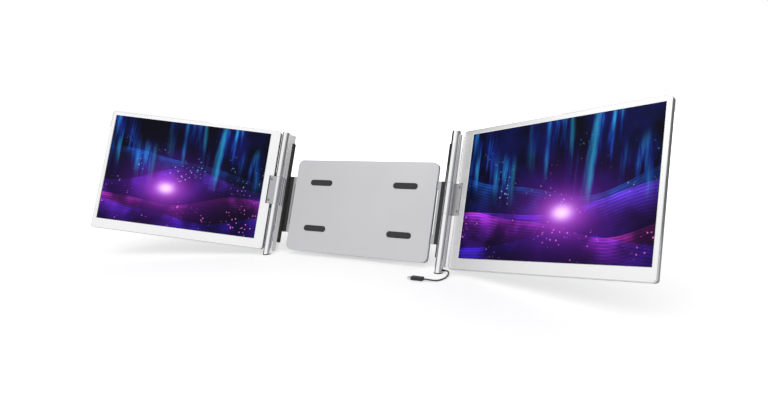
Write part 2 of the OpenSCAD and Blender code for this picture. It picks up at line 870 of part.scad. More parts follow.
module frame_screw_hole() {
    rotate([-90, 0, 0]) {
        translate([0, 0, plate_t - cut]) cylinder(d = screw_d + 2 * pin_fit, h = frame_depth);
        translate([0, 0, frame_depth - screw_head_t - seat_gap])
            cylinder(d = screw_head_d + 2 * seat_gap, h = screw_head_t + cut);
    }
}

module frame_screws() {
    frame_screw_l = frame_depth - screw_head_t - 2 * seat_gap - plate_skin - standoff_floor;
    for (p = frame_screw_spots)
        stance() translate([p[0], frame_depth - screw_head_t - seat_gap, p[1]])
            flat_screw(screw_head_d, screw_head_t, screw_d, frame_screw_l);
}

// Nylon rails above and below the arm plates.
module arm_guide_rails() {
    rail_w = frame_w - 2 * frame_corner_r;
    for (z = [arm_z - run_gap - rail_h, arm_z + arm_h + run_gap])
        stance() translate([-rail_w / 2, plate_t, z])
            cube([rail_w, arm_t + run_gap, rail_h]);
}

// Distribution board between the arm plates, on the front plate.
module hub_board() {
    stance() {
        translate([-hub_w / 2, plate_t, frame_z + hub_rise]) cube([hub_w, hub_t, hub_h]);
        for (z = hub_chip_zs)
            translate([-hub_w / 4, plate_t + hub_t / 2, frame_z + hub_rise + z])
                cube([hub_chip_w, hub_t / 2 + hub_chip_t, hub_chip_w]);
    }
}

// Post that both springs hook on.
module spring_post() {
    stance() translate([0, plate_t, spring_z]) rotate([-90, 0, 0]) {
        cylinder(d = spring_base_d, h = spring_base_t);
        cylinder(d = spring_post_d, h = arm_t);
    }
}

// Ears that hold the kickstand's pin; their webs reach down into the recess's round groove.
module kickstand_brackets() {
    for (side = [-1, 1])
        stance() on_side(side) translate([bracket_x, stand_axis_y, stand_pivot_z])
            difference() {
                union() {
                    rotate([0, 90, 0]) cylinder(r = knuckle_r, h = bracket_l);
                    intersection() {
                        rotate([0, 90, 0]) cylinder(r = knuckle_r + run_gap, h = bracket_l);
                        translate([0, -2 * knuckle_r, -knuckle_r / 2])
                            cube([bracket_l, 2 * knuckle_r, knuckle_r]);
                    }
                }
                translate([-cut, 0, 0]) rotate([0, 90, 0])
                    cylinder(d = stand_pin_d + 2 * pin_fit, h = bracket_l + 2 * cut);
            }
}

module kickstand_pin() {
    stance() translate([-stand_w / 2 + seat_gap, stand_axis_y, stand_pivot_z]) rotate([0, 90, 0])
        cylinder(d = stand_pin_d, h = stand_w - 2 * seat_gap);
}

// ---------- Sliding arms ----------

// Flat plate that slides behind the front plate and carries its column.
module arm(side) {
    outer = half_spacing - rib_outer;
    tongue_x = arm_inner_x - arm_tongue_l;
    stance() on_side(side) difference() {
        union() {
            translate([arm_inner_x, 0, arm_z]) plate_xz(arm_y, arm_t)
                round_rect(outer - arm_inner_x, arm_h, arm_corner_r);
            translate([tongue_x, 0, spring_z - arm_tongue_h / 2]) plate_xz(arm_y, arm_t)
                round_rect(arm_tongue_l + 2 * arm_corner_r, arm_tongue_h, arm_corner_r);
        }
        for (i = [0, 1])
            translate([arm_inner_x + arm_border + i * arm_window_pitch, 0, arm_z + arm_border])
                plate_xz(arm_y - cut, arm_t + 2 * cut)
                    round_rect(arm_window_w, arm_h - 2 * arm_border, arm_corner_r);
        for (p = arm_screw_spots) translate([p[0], arm_y - cut, p[1]]) rotate([-90, 0, 0])
            cylinder(d = screw_d + 2 * pin_fit, h = arm_t + 2 * cut);
        translate([tongue_x + arm_corner_r, arm_y - cut, spring_z]) rotate([-90, 0, 0])
            cylinder(d = hook_hole_d, h = arm_t + 2 * cut);
    }
}

module arm_screws(side) {
    for (p = arm_screw_spots)
        stance() on_side(side) translate([p[0], arm_back, p[1]])
            flat_screw(screw_head_d, screw_head_t, screw_d, arm_t);
}

// Close-wound tension spring from the post to the arm's tongue.
module arm_spring(side) {
    start = spring_post_d / 2 + spring_gap;
    length = arm_inner_x - arm_tongue_l - spring_gap - start;
    turns = ceil(length / (2 * spring_wire));
    pitch = (length - 2 * spring_wire) / turns;
    stance() on_side(side) translate([start, spring_y, spring_z]) rotate([0, 90, 0])
        rotate_extrude() {
            for (i = [0 : turns])
                translate([spring_coil_r, i * pitch + spring_wire]) circle(r = spring_wire);
        }
}

// ---------- Kickstand ----------

module in_stand() {
    stance() translate([0, stand_axis_y, stand_pivot_z]) rotate([stand_open, 0, 0]) children();
}

// Plate with two knuckles, drawn hanging down from its pin and swung open.
module kickstand() {
    window_w = stand_w - 2 * stand_border;
    window_h = stand_l - stand_low_border - stand_top_border;
    in_stand() difference() {
        union() {
            translate([-stand_w / 2, -stand_t / 2, -stand_l])
                plate_xz(0, stand_t) stand_outline();
            for (side = [-1, 1]) on_side(side) {
                translate([knuckle_x, 0, 0]) rotate([0, 90, 0])
                    cylinder(r = knuckle_r, h = knuckle_l);
                translate([knuckle_x, -stand_t / 2, -knuckle_root])
                    cube([knuckle_l, stand_t, knuckle_root]);
            }
        }
        for (side = [-1, 1]) on_side(side) translate([knuckle_x - cut, 0, 0]) rotate([0, 90, 0])
            cylinder(d = stand_pin_d + 2 * pin_fit, h = knuckle_l + 2 * cut);
        translate([-window_w / 2, 0, -stand_l + stand_low_border]) plate_xz(-stand_t, 2 * stand_t)
            round_rect(window_w, window_h, stand_corner_r);
    }
}

module stand_outline() {
    round_rect(stand_w, stand_l - knuckle_r - 2 * run_gap, stand_corner_r);
}

// Rubber bead that grips the kickstand's bottom edge.
module kickstand_foot() {
    in_stand() difference() {
        translate([-stand_w / 2 + stand_corner_r, 0, -stand_l]) rotate([0, 90, 0])
            cylinder(r = stand_foot_r, h = stand_w - 2 * stand_corner_r);
        translate([-stand_w / 2, -stand_t / 2, -stand_l]) cube([stand_w, stand_t, stand_foot_r * 2]);
    }
}

// ---------- Lead ----------

// Moves to the point where the lead leaves its gland, on the floor level.
module at_lead_exit() {
    translate([lead_exit_x, column_foot_y, 0]) children();
}

module gland_seat() {
    at_lead_exit() translate([-gland_l - gland_root_l, 0, gland_z]) rotate([0, 90, 0])
        cylinder(d = gland_d, h = gland_l + gland_root_l);
}

module lead_gland() {
    root = gland_root_l + gland_seat_l;
    at_lead_exit() translate([-gland_l - gland_root_l, 0, gland_z]) rotate([0, 90, 0]) {
        cylinder(d = gland_d - 2 * pin_fit, h = root);
        translate([0, 0, root])
            cylinder(d1 = gland_d - 2 * pin_fit, d2 = lead_d + seat_gap, h = gland_l - gland_seat_l);
    }
}

// Tube through the route points, on a smooth curve between them.
module lead() {
    points = lead_path();
    count = len(points);
    rings = [for (i = [0 : count - 1]) lead_ring(points, i)];
    vertices = [for (ring = rings) for (p = ring) p];
    last = (count - 1) * lead_sides;
    walls = [
        for (i = [0 : count - 2]) for (k = [0 : lead_sides - 1])
            [i * lead_sides + k, i * lead_sides + (k + 1) % lead_sides,
            (i + 1) * lead_sides + (k + 1) % lead_sides, (i + 1) * lead_sides + k]
    ];
    ends = [
        [for (k = [0 : lead_sides - 1]) lead_sides - 1 - k],
        [for (k = [0 : lead_sides - 1]) last + k]
    ];
    at_lead_exit() polyhedron(vertices, concat(walls, ends), convexity = 6);
}

// Route points with extra ones between them on a Catmull-Rom curve.
function lead_path() = concat(
    [for (i = [0 : len(lead_route) - 2]) for (s = [0 : lead_rings - 1]) route_at(i, s / lead_rings)],
    [lead_end]
);
function route_point(i) = lead_route[max(0, min(len(lead_route) - 1, i))];
function route_at(i, t) =
    let (a = route_point(i - 1), b = route_point(i), c = route_point(i + 1), d = route_point(i + 2))
    0.5 * (2 * b + (c - a) * t + (2 * a - 5 * b + 4 * c - d) * t * t
        + (3 * b - a - 3 * c + d) * t * t * t);

// One ring of the tube, square to the path; its sides are counted from the upward one.
function lead_ring(points, i) =
    let (count = len(points),
        ahead = points[min(count - 1, i + 1)] - points[max(0, i - 1)],
        along = ahead / norm(ahead),
        across = cross(along, [0, 0, 1]) / norm(cross(along, [0, 0, 1])),
        up = cross(across, along))
    [for (k = [0 : lead_sides - 1]) let (w = 360 * (k + 0.5) / lead_sides)
        points[i] + lead_r * (cos(w) * across + sin(w) * up)];

// The plug lies on the floor at the end of the lead.
module at_plug() {
    at_lead_exit() translate([lead_end[0], lead_end[1], 0]) rotate([0, 0, 180]) children();
}

module plug_body() {
    at_plug() translate([0, -plug_w / 2, 0]) difference() {
        rotate([90, 0, 90]) linear_extrude(plug_l) round_rect(plug_w, plug_h, plug_corner_r);
        translate([plug_l - shell_root_l, (plug_w - shell_w) / 2 - shell_fit,
            (plug_h - shell_h) / 2 - shell_fit])
            cube([shell_root_l + cut, shell_w + 2 * shell_fit, shell_h + 2 * shell_fit]);
    }
}

module plug_shell() {
    inner_h = shell_h - 2 * shell_wall;
    at_plug() translate([plug_l - shell_root_l, -shell_w / 2, (plug_h - shell_h) / 2])
        rotate([90, 0, 90]) difference() {
            linear_extrude(plug_shell_l + shell_root_l)
                round_rect(shell_w, shell_h, shell_h / 2 - shell_fit);
            translate([shell_wall, shell_wall, shell_root_l])
                linear_extrude(plug_shell_l + cut)
                    round_rect(shell_w - 2 * shell_wall, inner_h, inner_h / 2 - shell_fit);
        }
}

// ---------- Output ----------

color("silver") frame_front_plate();
color("darkgray") frame_rear_cover();
color("black") lid_pads();
color("ivory") arm_guide_rails();
color("green") hub_board();
color("gray") spring_post();
color("dimgray") frame_screws();
color("gray") frame_standoffs();
color("gray") kickstand_brackets();
color("dimgray") kickstand_pin();
color("silver") kickstand();
color("black") kickstand_foot();
color("gray") arm(-1);  // arm_left
color("gray") arm(1);  // arm_right
color("gainsboro") column(-1);  // column_left
color("gainsboro") column(1);  // column_right
color("silver") column_top_cap(-1);  // column_top_cap_left
color("silver") column_top_cap(1);  // column_top_cap_right
color("silver") column_foot(-1);  // column_foot_left
color("silver") column_foot(1);  // column_foot_right
color("black") column_sole(-1);  // column_sole_left
color("black") column_sole(1);  // column_sole_right
color("black") grip_liner(-1);  // grip_liner_left
color("black") grip_liner(1);  // grip_liner_right
color("dimgray") hinge_pin(-1);  // hinge_pin_left
color("dimgray") hinge_pin(1);  // hinge_pin_right
color("dimgray") arm_screws(-1);  // arm_screws_left
color("dimgray") arm_screws(1);  // arm_screws_right
color("gray") arm_spring(-1);  // arm_spring_left
color("gray") arm_spring(1);  // arm_spring_right
color("dimgray") back_cover(-1);  // back_cover_left
color("dimgray") back_cover(1);  // back_cover_right
color("whitesmoke") bezel(-1);  // bezel_left
color("whitesmoke") bezel(1);  // bezel_right
color("midnightblue") display(-1);  // display_left
color("midnightblue") display(1);  // display_right
color("green") driver_board(-1);  // driver_board_left
color("green") driver_board(1);  // driver_board_right
color("black") speakers(-1);  // speakers_left
color("black") speakers(1);  // speakers_right
color("silver") power_socket(-1);  // power_socket_left
color("silver") power_socket(1);  // power_socket_right
color("darkgray") hinge_leaf(-1);  // hinge_leaf_left
color("darkgray") hinge_leaf(1);  // hinge_leaf_right
color("dimgray") leaf_screws(-1);  // leaf_screws_left
color("dimgray") leaf_screws(1);  // leaf_screws_right
color("gray") button(-1, -1);  // power_button_left
color("gray") button(-1, 0);  // plus_button_left
color("gray") button(-1, 1);  // minus_button_left
color("gray") button(1, -1);  // power_button_right
color("gray") button(1, 0);  // plus_button_right
color("gray") button(1, 1);  // minus_button_right
color("black") lead_gland();
color("dimgray") lead();
color("black") plug_body();
color("silver") plug_shell();
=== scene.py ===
"""Looks of a laptop screen extender: its finishes, its fine pieces, the studio and the camera.

Everything is in metres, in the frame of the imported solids: +X is the viewer's right, -Y faces the
viewer, +Z is up and the floor is z = 0.
"""

from __future__ import annotations

import json
import logging
import math
from dataclasses import dataclass, replace
from enum import Enum
from functools import cached_property, reduce
from typing import Callable, Optional, Sequence, Union

import bmesh
import bpy
import numpy as np
from mathutils import Matrix, Vector

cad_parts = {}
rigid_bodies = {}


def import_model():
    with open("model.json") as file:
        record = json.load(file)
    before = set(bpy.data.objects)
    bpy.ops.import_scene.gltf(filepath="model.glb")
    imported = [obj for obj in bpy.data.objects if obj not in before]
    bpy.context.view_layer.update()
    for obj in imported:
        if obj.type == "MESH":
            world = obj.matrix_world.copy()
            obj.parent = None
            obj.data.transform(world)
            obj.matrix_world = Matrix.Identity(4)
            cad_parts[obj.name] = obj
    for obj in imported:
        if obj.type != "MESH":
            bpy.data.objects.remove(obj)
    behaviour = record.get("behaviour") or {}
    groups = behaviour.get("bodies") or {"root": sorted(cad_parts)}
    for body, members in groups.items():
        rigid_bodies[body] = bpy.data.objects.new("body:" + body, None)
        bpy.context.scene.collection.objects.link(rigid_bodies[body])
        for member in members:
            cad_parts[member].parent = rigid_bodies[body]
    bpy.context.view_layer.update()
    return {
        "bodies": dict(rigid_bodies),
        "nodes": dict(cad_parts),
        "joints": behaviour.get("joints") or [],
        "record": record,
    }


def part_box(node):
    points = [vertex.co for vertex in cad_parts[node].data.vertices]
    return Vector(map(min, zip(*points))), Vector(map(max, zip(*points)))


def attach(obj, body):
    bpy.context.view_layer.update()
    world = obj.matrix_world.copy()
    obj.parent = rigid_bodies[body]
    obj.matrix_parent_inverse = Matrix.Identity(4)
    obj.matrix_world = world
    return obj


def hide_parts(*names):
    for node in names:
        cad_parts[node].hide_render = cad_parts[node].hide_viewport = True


LOG = logging.getLogger("screen_extender")
MM = 0.001
# How far an eased normal has turned, as 1 less its cosine, where the edge mask begins and where it is
# full; finishes lighten edges by it, partly as wear and partly as a painted highlight
WEAR_AND_SHEEN_FROM, WEAR_AND_SHEEN_FULL = 0.01, 0.22

Colour = tuple[float, float, float]
Point = tuple[float, float, float]
Number = Union[int, float]
Inputs = dict[Union[str, int], object]
Placer = Callable[[np.ndarray, np.ndarray, np.ndarray], np.ndarray]
Faces = list[list[int]]


class Side(Enum):
    """The two sides of the object, as the sign of X."""

    LEFT = -1
    RIGHT = 1

    @property
    def word(self) -> str:
        """The ending of this side's node names."""
        return self.name.lower()


class Key(Enum):
    """The three keys in the back of a display, as places in their row."""

    POWER = -1
    PLUS = 0
    MINUS = 1

    @property
    def word(self) -> str:
        """The start of this key's node names."""
        return self.name.lower()


def rgb(code: str) -> Colour:
    """Turns a web colour such as "a0b0c0" into linear red, green and blue."""
    parts = [int(code[i : i + 2], 16) / 255 for i in (0, 2, 4)]
    return tuple(p / 12.92 if p <= 0.04045 else ((p + 0.055) / 1.055) ** 2.4 for p in parts)


def direction(azimuth: float, elevation: float) -> np.ndarray:
    """Unit vector towards an azimuth from -Y, positive to +X, and an elevation, in degrees."""
    az, el = math.radians(azimuth), math.radians(elevation)
    return np.array([math.sin(az) * math.cos(el), -math.cos(az) * math.cos(el), math.sin(el)])


# ---------------------------------------------------------------------------
# Layout: the same sizes as the solids have
# ---------------------------------------------------------------------------


@dataclass(frozen=True)
class Axes:
    """A place and three unit directions that a pattern is laid along."""

    place: Point
    along: Point
    across: Point
    out: Point

    @staticmethod
    def from_points(place: np.ndarray, along: np.ndarray, across: np.ndarray) -> "Axes":
        """Builds axes from a corner and two further points, one along and one across.

        Args:
            place: the corner.
            along: a point in the first direction.
            across: a point in the second.

        Returns:
            The axes, with out square to both.
        """
        a = (along - place) / np.linalg.norm(along - place)
        b = (across - place) / np.linalg.norm(across - place)
        return Axes(tuple(place), tuple(a), tuple(b), tuple(np.cross(a, b)))


@dataclass(frozen=True)
class Layout:
    """Where the columns and displays stand.

    The object is described upright, with the back frame's front on y = 0 and the displays'
    bottom edge on z = 0, and is then leant back and put on the floor.
    """

    spacing: float = 386 * MM
    forward: float = 15 * MM
    column_r: float = 8.2 * MM
    lean: float = math.radians(22.5)
    swing: float = math.radians(22)
    foot_drop: float = 8 * MM
    bezel_in: float = 20 * MM
    bezel_out: float = 7.5 * MM
    bezel_top: float = 7 * MM
    bezel_bottom: float = 19.5 * MM
    picture_w: float = 338.2 * MM
    picture_h: float = 225.5 * MM
    thickness: float = 11 * MM
    left_edge: float = 9 * MM
    right_edge: float = 14.4 * MM
    left_face: float = 8.2 * MM
    right_face: float = -7 * MM
    shift: Point = (0.0, 0.0, 0.0)

    @property
    def panel_w(self) -> float:
        """Width of a display."""
        return self.bezel_in + self.picture_w + self.bezel_out

    @property
    def panel_h(self) -> float:
        """Height of a display."""
        return self.bezel_bottom + self.picture_h + self.bezel_top

    def standing(self) -> "Layout":
        """This layout with its shift, found from the solids.

        The middles of the two hinge pins lie on the axes at half the displays' height, so the
        shift is their mean place less the place that leaning alone gives them.

        Returns:
            The layout with its shift.
        """
        middles = [np.mean(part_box(f"hinge_pin_{side.word}"), axis=0) for side in Side]
        leant = replace(self, shift=(0.0, 0.0, 0.0)).stand(
            np.array([0.0, -self.forward, self.panel_h / 2])
        )
        return replace(self, shift=tuple(float(v) for v in np.mean(middles, axis=0) - leant))

    def edge(self, side: Side) -> float:
        """Distance from the hinge axis to the display's inner edge."""
        return self.left_edge if side is Side.LEFT else self.right_edge

    def face(self, side: Side) -> float:
        """How far the display's face lies in front of the hinge axis."""
        return self.left_face if side is Side.LEFT else self.right_face

    def stand(self, points: np.ndarray) -> np.ndarray:
        """Leans upright points back about X and stands them on the floor.

        Args:
            points: an array whose last axis is x, y, z.

        Returns:
            The points in the frame of the solids.
        """
        c, s = math.cos(self.lean), math.sin(self.lean)
        x, y, z = points[..., 0], points[..., 1], points[..., 2]
        return np.stack((x, y * c + z * s, z * c - y * s), axis=-1) + np.array(self.shift)

    def on_frame(self, side: Side, out: np.ndarray, back: np.ndarray, up: np.ndarray) -> np.ndarray:
        """Places points given outwards from the middle, backwards and up, before the leaning."""
        return self.stand(np.stack(np.broadcast_arrays(side.value * out, back, up), axis=-1))

    def on_column(self, side: Side, out: np.ndarray, ahead: np.ndarray, up: np.ndarray) -> np.ndarray:
        """Places points given outwards, forwards and up from a column's hinge axis."""
        return self.on_frame(side, self.spacing / 2 + out, -(self.forward + ahead), up)

    def on_panel(self, side: Side, out: np.ndarray, ahead: np.ndarray, up: np.ndarray) -> np.ndarray:
        """Places points given in a display: outwards from its inner edge, forwards from its face.

        The display turns forward by the swing: out' = out cos - ahead sin and
        ahead' = out sin + ahead cos.

        Args:
            side: which display.
            out: distances outwards from its inner edge.
            ahead: distances forwards from its face.
            up: heights from its bottom edge.

        Returns:
            The points in the frame of the solids.
        """
        o = self.edge(side) + np.asarray(out, float)
        a = self.face(side) + np.asarray(ahead, float)
        c, s = math.cos(self.swing), math.sin(self.swing)
        return self.on_column(side, o * c - a * s, o * s + a * c, np.asarray(up, float))

    def column_axes(self, side: Side) -> Axes:
        """Axes from the middle of a hinge axis: along is the leaning column's own direction.

        Args:
            side: which column.

        Returns:
            The axes.
        """
        nothing, half = np.array(0.0), np.array(self.panel_h / 2)
        middle = self.on_column(side, nothing, nothing, half)
        above = self.on_column(side, nothing, nothing, half * 2)
        return Axes.from_points(middle, above, middle + np.array([1.0, 0.0, 0.0]))

    def front_axes(self, side: Side, near: float, far: float, low: float, high: float) -> Axes:
        """Axes in a display's front: the corner at the viewer's lower left, then right and up.

        Args:
            side: which display.
            near: distance of the first edge from the display's inner edge.
            far: distance of the second edge from it.
            low: height of the bottom edge.
            high: height of the top edge.

        Returns:
            The axes, from the corner of the rectangle.
        """
        left, right = (near, far) if side is Side.RIGHT else (far, near)
        corners = [self.on_panel(side, x, 0.0, z) for x, z in ((left, low), (right, low), (left, high))]
        return Axes.from_points(*corners)

    def picture_axes(self, side: Side) -> Axes:
        """Axes of a picture.

        Args:
            side: which display.

        Returns:
            The axes, from the picture's lower left corner.
        """
        far = self.bezel_in + self.picture_w
        high = self.bezel_bottom + self.picture_h
        return self.front_axes(side, self.bezel_in, far, self.bezel_bottom, high)

    def panel_axes(self, side: Side) -> Axes:
        """Axes of a whole display."""
        return self.front_axes(side, 0.0, self.panel_w, 0.0, self.panel_h)


# ---------------------------------------------------------------------------
# Shader maths
# ---------------------------------------------------------------------------


class Link:
    """One output of a shader node. Python's operators on it add the Math nodes."""

    def __init__(self, graph: "Graph", socket: bpy.types.NodeSocket) -> None:
        """Keeps the socket and the graph that new nodes go to."""
        self.graph = graph
        self.socket = socket

    def _math(self, operation: str, *others: "Value") -> "Link":
        """Adds one Math node on this value and up to two others."""
        return self.graph.add("ShaderNodeMath", dict(enumerate((self, *others))), operation=operation)

    def __add__(self, other: "Value") -> "Link":
        """self + other"""
        return self._math("ADD", other)

    def __sub__(self, other: "Value") -> "Link":
        """self - other"""
        return self._math("SUBTRACT", other)

    def __mul__(self, other: "Value") -> "Link":
        """self * other"""
        return self._math("MULTIPLY", other)

    def __rsub__(self, other: Number) -> "Link":
        """other - self"""
        return self.graph.add("ShaderNodeMath", {0: other, 1: self}, operation="SUBTRACT")

    __radd__ = __add__
    __rmul__ = __mul__

    def sin(self) -> "Link":
        """Sine of the value in radians."""
        return self._math("SINE")

    def exp(self) -> "Link":
        """e to the power of the value."""
        return self._math("EXPONENT")

    def size(self) -> "Link":
        """The value without its sign."""
        return self._math("ABSOLUTE")

    def most(self, other: "Value") -> "Link":
        """The larger of two values."""
        return self._math("MAXIMUM", other)

    def wrap(self, length: float) -> "Link":
        """The value folded into 0 to length."""
        return self._math("FLOORED_MODULO", length)

    def step(self, low: Number, high: Number) -> "Link":
        """A smooth rise from 0 at low to 1 at high."""
        inputs = {"Value": self, "From Min": low, "From Max": high}
        return self.graph.add("ShaderNodeMapRange", inputs, interpolation_type="SMOOTHSTEP", clamp=True)


Value = Union[Link, Number]


class Graph:
    """A node tree that nodes are added to by plain expressions."""

    def __init__(self, tree: bpy.types.NodeTree, coordinates: str) -> None:
        """Empties the tree and adds the coordinates that patterns are laid on.

        Args:
            tree: the node tree to fill.
            coordinates: the Texture Coordinate output that patterns are laid on.
        """
        self.nodes = tree.nodes
        self.links = tree.links
        self.nodes.clear()
        self.place = self.add("ShaderNodeTexCoord", {}, coordinates)

    def node(self, kind: str, inputs: Inputs, **settings: object) -> bpy.types.Node:
        """Makes any node.

        Args:
            kind: the node's type.
            inputs: socket name or number to a link or a value.
            settings: its settings, such as a Math node's operation.

        Returns:
            The new node.
        """
        node = self.nodes.new(kind)
        for key, value in settings.items():
            setattr(node, key, value)
        for key, value in inputs.items():
            self.feed(node.inputs[key], value)
        return node

    def add(self, kind: str, inputs: Inputs, output: Union[str, int] = 0, **settings: object) -> Link:
        """Makes any node and gives the wanted output of it."""
        return Link(self, self.node(kind, inputs, **settings).outputs[output])

    def vector(self, operation: str, *values: object) -> Link:
        """Adds one Vector Math node; lengths and dot products come out as numbers."""
        output = "Value" if operation in ("LENGTH", "DOT_PRODUCT") else "Vector"
        return self.add("ShaderNodeVectorMath", dict(enumerate(values)), output, operation=operation)

    def feed(self, socket: bpy.types.NodeSocket, value: object) -> None:
        """Links or sets one input socket.

        Args:
            socket: the input.
            value: a link, a number, a colour or a vector.
        """
        if isinstance(value, Link):
            self.links.new(value.socket, socket)
        elif isinstance(value, tuple) and len(value) == 3 and socket.type == "RGBA":
            socket.default_value = (*value, 1.0)
        else:
            socket.default_value = value

    def ray(self, *kinds: str) -> Link:
        """1 for a ray of any of the kinds, such as "Camera" or "Glossy", and 0 for the rest."""
        return reduce(Link.most, [self.add("ShaderNodeLightPath", {}, f"Is {kind} Ray") for kind in kinds])

    def noise(self, scale: float, detail: float = 2.0, at: Optional[Link] = None) -> Link:
        """Noise from 0 to 1, with scale bumps to the metre."""
        inputs = {"Vector": at or self.place, "Scale": scale, "Detail": detail}
        return self.add("ShaderNodeTexNoise", inputs, "Fac")

    def dot(self, along: Point) -> Link:
        """How far a place lies along a direction."""
        return self.vector("DOT_PRODUCT", self.place, along)

    def local(self, axes: Axes, stretch: Point = (1.0, 1.0, 1.0)) -> Link:
        """The place measured in other axes, with each scaled by stretch.

        Args:
            axes: the axes to measure in.
            stretch: a factor for each of them.

        Returns:
            The three measures as one vector.
        """
        parts = []
        for axis, factor in zip((axes.along, axes.across, axes.out), stretch):
            start = float(np.dot(axes.place, axis))
            parts.append((self.dot(axis) - start) * factor)
        return self.add("ShaderNodeCombineXYZ", dict(enumerate(parts)))

    def blend(self, share: Value, first: object, second: object) -> Link:
        """A colour between two, by share."""
        return self.add("ShaderNodeMix", {0: share, 6: first, 7: second}, 2, data_type="RGBA")

    def tint(self, colour: object, level: Link) -> Link:
        """A colour multiplied by a level."""
        grey = self.add("ShaderNodeCombineXYZ", {0: level, 1: level, 2: level})
        return self.vector("MULTIPLY", grey, colour)

    def sum(self, first: Link, second: Link) -> Link:
        """The sum of two colours."""
        return self.vector("ADD", first, second)


class Surface(Graph):
    """The nodes of one material, with a principled shader at the end."""

    def __init__(self, name: str) -> None:
        """Starts a material with its shader and the Object coordinates.

        Args:
            name: the material's name.
        """
        self.material = bpy.data.materials.new(name)
        self.material.use_nodes = True
        super().__init__(self.material.node_tree, "Object")
        self.shader = self.node("ShaderNodeBsdfPrincipled", {})
        self.node("ShaderNodeOutputMaterial", {"Surface": Link(self, self.shader.outputs[0])})

    def set(self, **values: object) -> None:
        """Feeds the shader's sockets; underscores stand for spaces in their names."""
        for key, value in values.items():
            self.feed(self.shader.inputs[key.replace("_", " ")], value)

    def eased(self, radius: float) -> Link:
        """The normal with the piece's edges rounded by a radius."""
        return self.add("ShaderNodeBevel", {"Radius": radius}, "Normal", samples=4)

    def edge(self, eased: Link) -> Link:
        """0 on the flats and up to 1 on the edges, from how far the eased normal turns."""
        plain = self.add("ShaderNodeNewGeometry", {}, "Normal")
        return (1.0 - self.vector("DOT_PRODUCT", eased, plain)).step(WEAR_AND_SHEEN_FROM, WEAR_AND_SHEEN_FULL)

    def bump(self, height: Link, depth: float, strength: float, normal: Optional[Link] = None) -> Link:
        """A normal from a height of 0 to 1 that stands for a depth in metres.

        Args:
            height: the height.
            depth: what a height of 1 stands for.
            strength: the share of it that shows.
            normal: the normal to start from, where it isn't the piece's own.

        Returns:
            The new normal.
        """
        inputs: Inputs = {"Height": height, "Distance": depth, "Strength": strength}
        if normal is not None:
            inputs["Normal"] = normal
        return self.add("ShaderNodeBump", inputs, "Normal")


# ---------------------------------------------------------------------------
# Finishes
# ---------------------------------------------------------------------------


@dataclass(frozen=True)
class Finish:
    """A finish that makes its material once and gives it out."""

    name: str

    def dress(self, surface: Surface) -> None:
        """Sets the shader up. Each kind of finish has its own."""
        raise NotImplementedError

    @cached_property
    def material(self) -> bpy.types.Material:
        """The material, made at its first use under a name that no loaded material has.

        Returns:
            The material.
        """
        surface = Surface(f"{self.name}_finish")
        self.dress(surface)
        return surface.material


@dataclass(frozen=True)
class Anodised(Finish):
    """Bead-blasted, anodised aluminium: an even satin with a fine grain and faint handling marks."""

    colour: Colour
    roughness: float = 0.36
    metal: float = 0.55
    edge_r: float = 0.35 * MM
    grain_scale: float = 2600.0
    cloud_scale: float = 9.0
    smudge_scale: float = 38.0
    grain_depth: float = 0.006 * MM

    def cut(self, surface: Surface) -> Value:
        """Share of the piece that is a bare cut edge, from 0 to 1; the finish makes it glossier and
        darkens its colour as painted shade.
        """
        return 0.0

    def dress(self, surface: Surface) -> None:
        """Grain in the roughness and bump, slow cloud in the colour, edges lightened in the colour, partly
        as wear and partly as a painted highlight.

        Args:
            surface: the nodes of the material.
        """
        grain = surface.noise(self.grain_scale, 3)
        cloud = surface.noise(self.cloud_scale, 2)
        smudge = surface.noise(self.smudge_scale, 4).step(0.52, 0.74)
        eased = surface.eased(self.edge_r)
        edge = surface.edge(eased)
        # The cut rim is glossier and more metallic, as a real cut edge; its darker colour (- 0.34 * cut)
        # is painted shade, for the dark surroundings that a rounded edge reflects
        cut = self.cut(surface)
        # 0.10 * edge lightens the edges in the colour: partly wear, partly a painted highlight
        level = 0.04 * (grain - 0.5) + 0.08 * cloud + 0.10 * edge + (0.95 - 0.34 * cut)
        surface.set(
            Base_Color=surface.tint(self.colour, level),
            Metallic=0.45 * cut + self.metal,
            Roughness=0.06 * (grain - 0.5) + 0.05 * smudge - 0.08 * edge
            + (self.roughness - 0.12 * cut),
            Normal=surface.bump(grain, self.grain_depth, 0.3, eased),
        )


@dataclass(frozen=True, kw_only=True)
class Rimmed(Anodised):
    """Anodised aluminium with a glossy cut rim round a display's front, its colour darkened as painted
    shade.

    A place's distance to the outline is the corner radius less its distance past the inner
    corner points, so the rim follows the round corners.
    """

    axes: Axes
    width: float
    height: float
    corner_r: float = 7 * MM
    rim: float = 1.5 * MM
    rim_full: float = 0.7

    def cut(self, surface: Surface) -> Value:
        """1 within the rim of the outline.

        Args:
            surface: the nodes of the material.

        Returns:
            The share, from 0 to 1.
        """
        past = []
        for axis, length in ((self.axes.along, self.width), (self.axes.across, self.height)):
            middle = float(np.dot(self.axes.place, axis)) + length / 2
            past.append(((surface.dot(axis) - middle).size() - (length / 2 - self.corner_r)).most(0.0))
        far = surface.vector("LENGTH", surface.add("ShaderNodeCombineXYZ", dict(enumerate(past))))
        return far.step(self.corner_r - self.rim, self.corner_r - self.rim_full * self.rim)


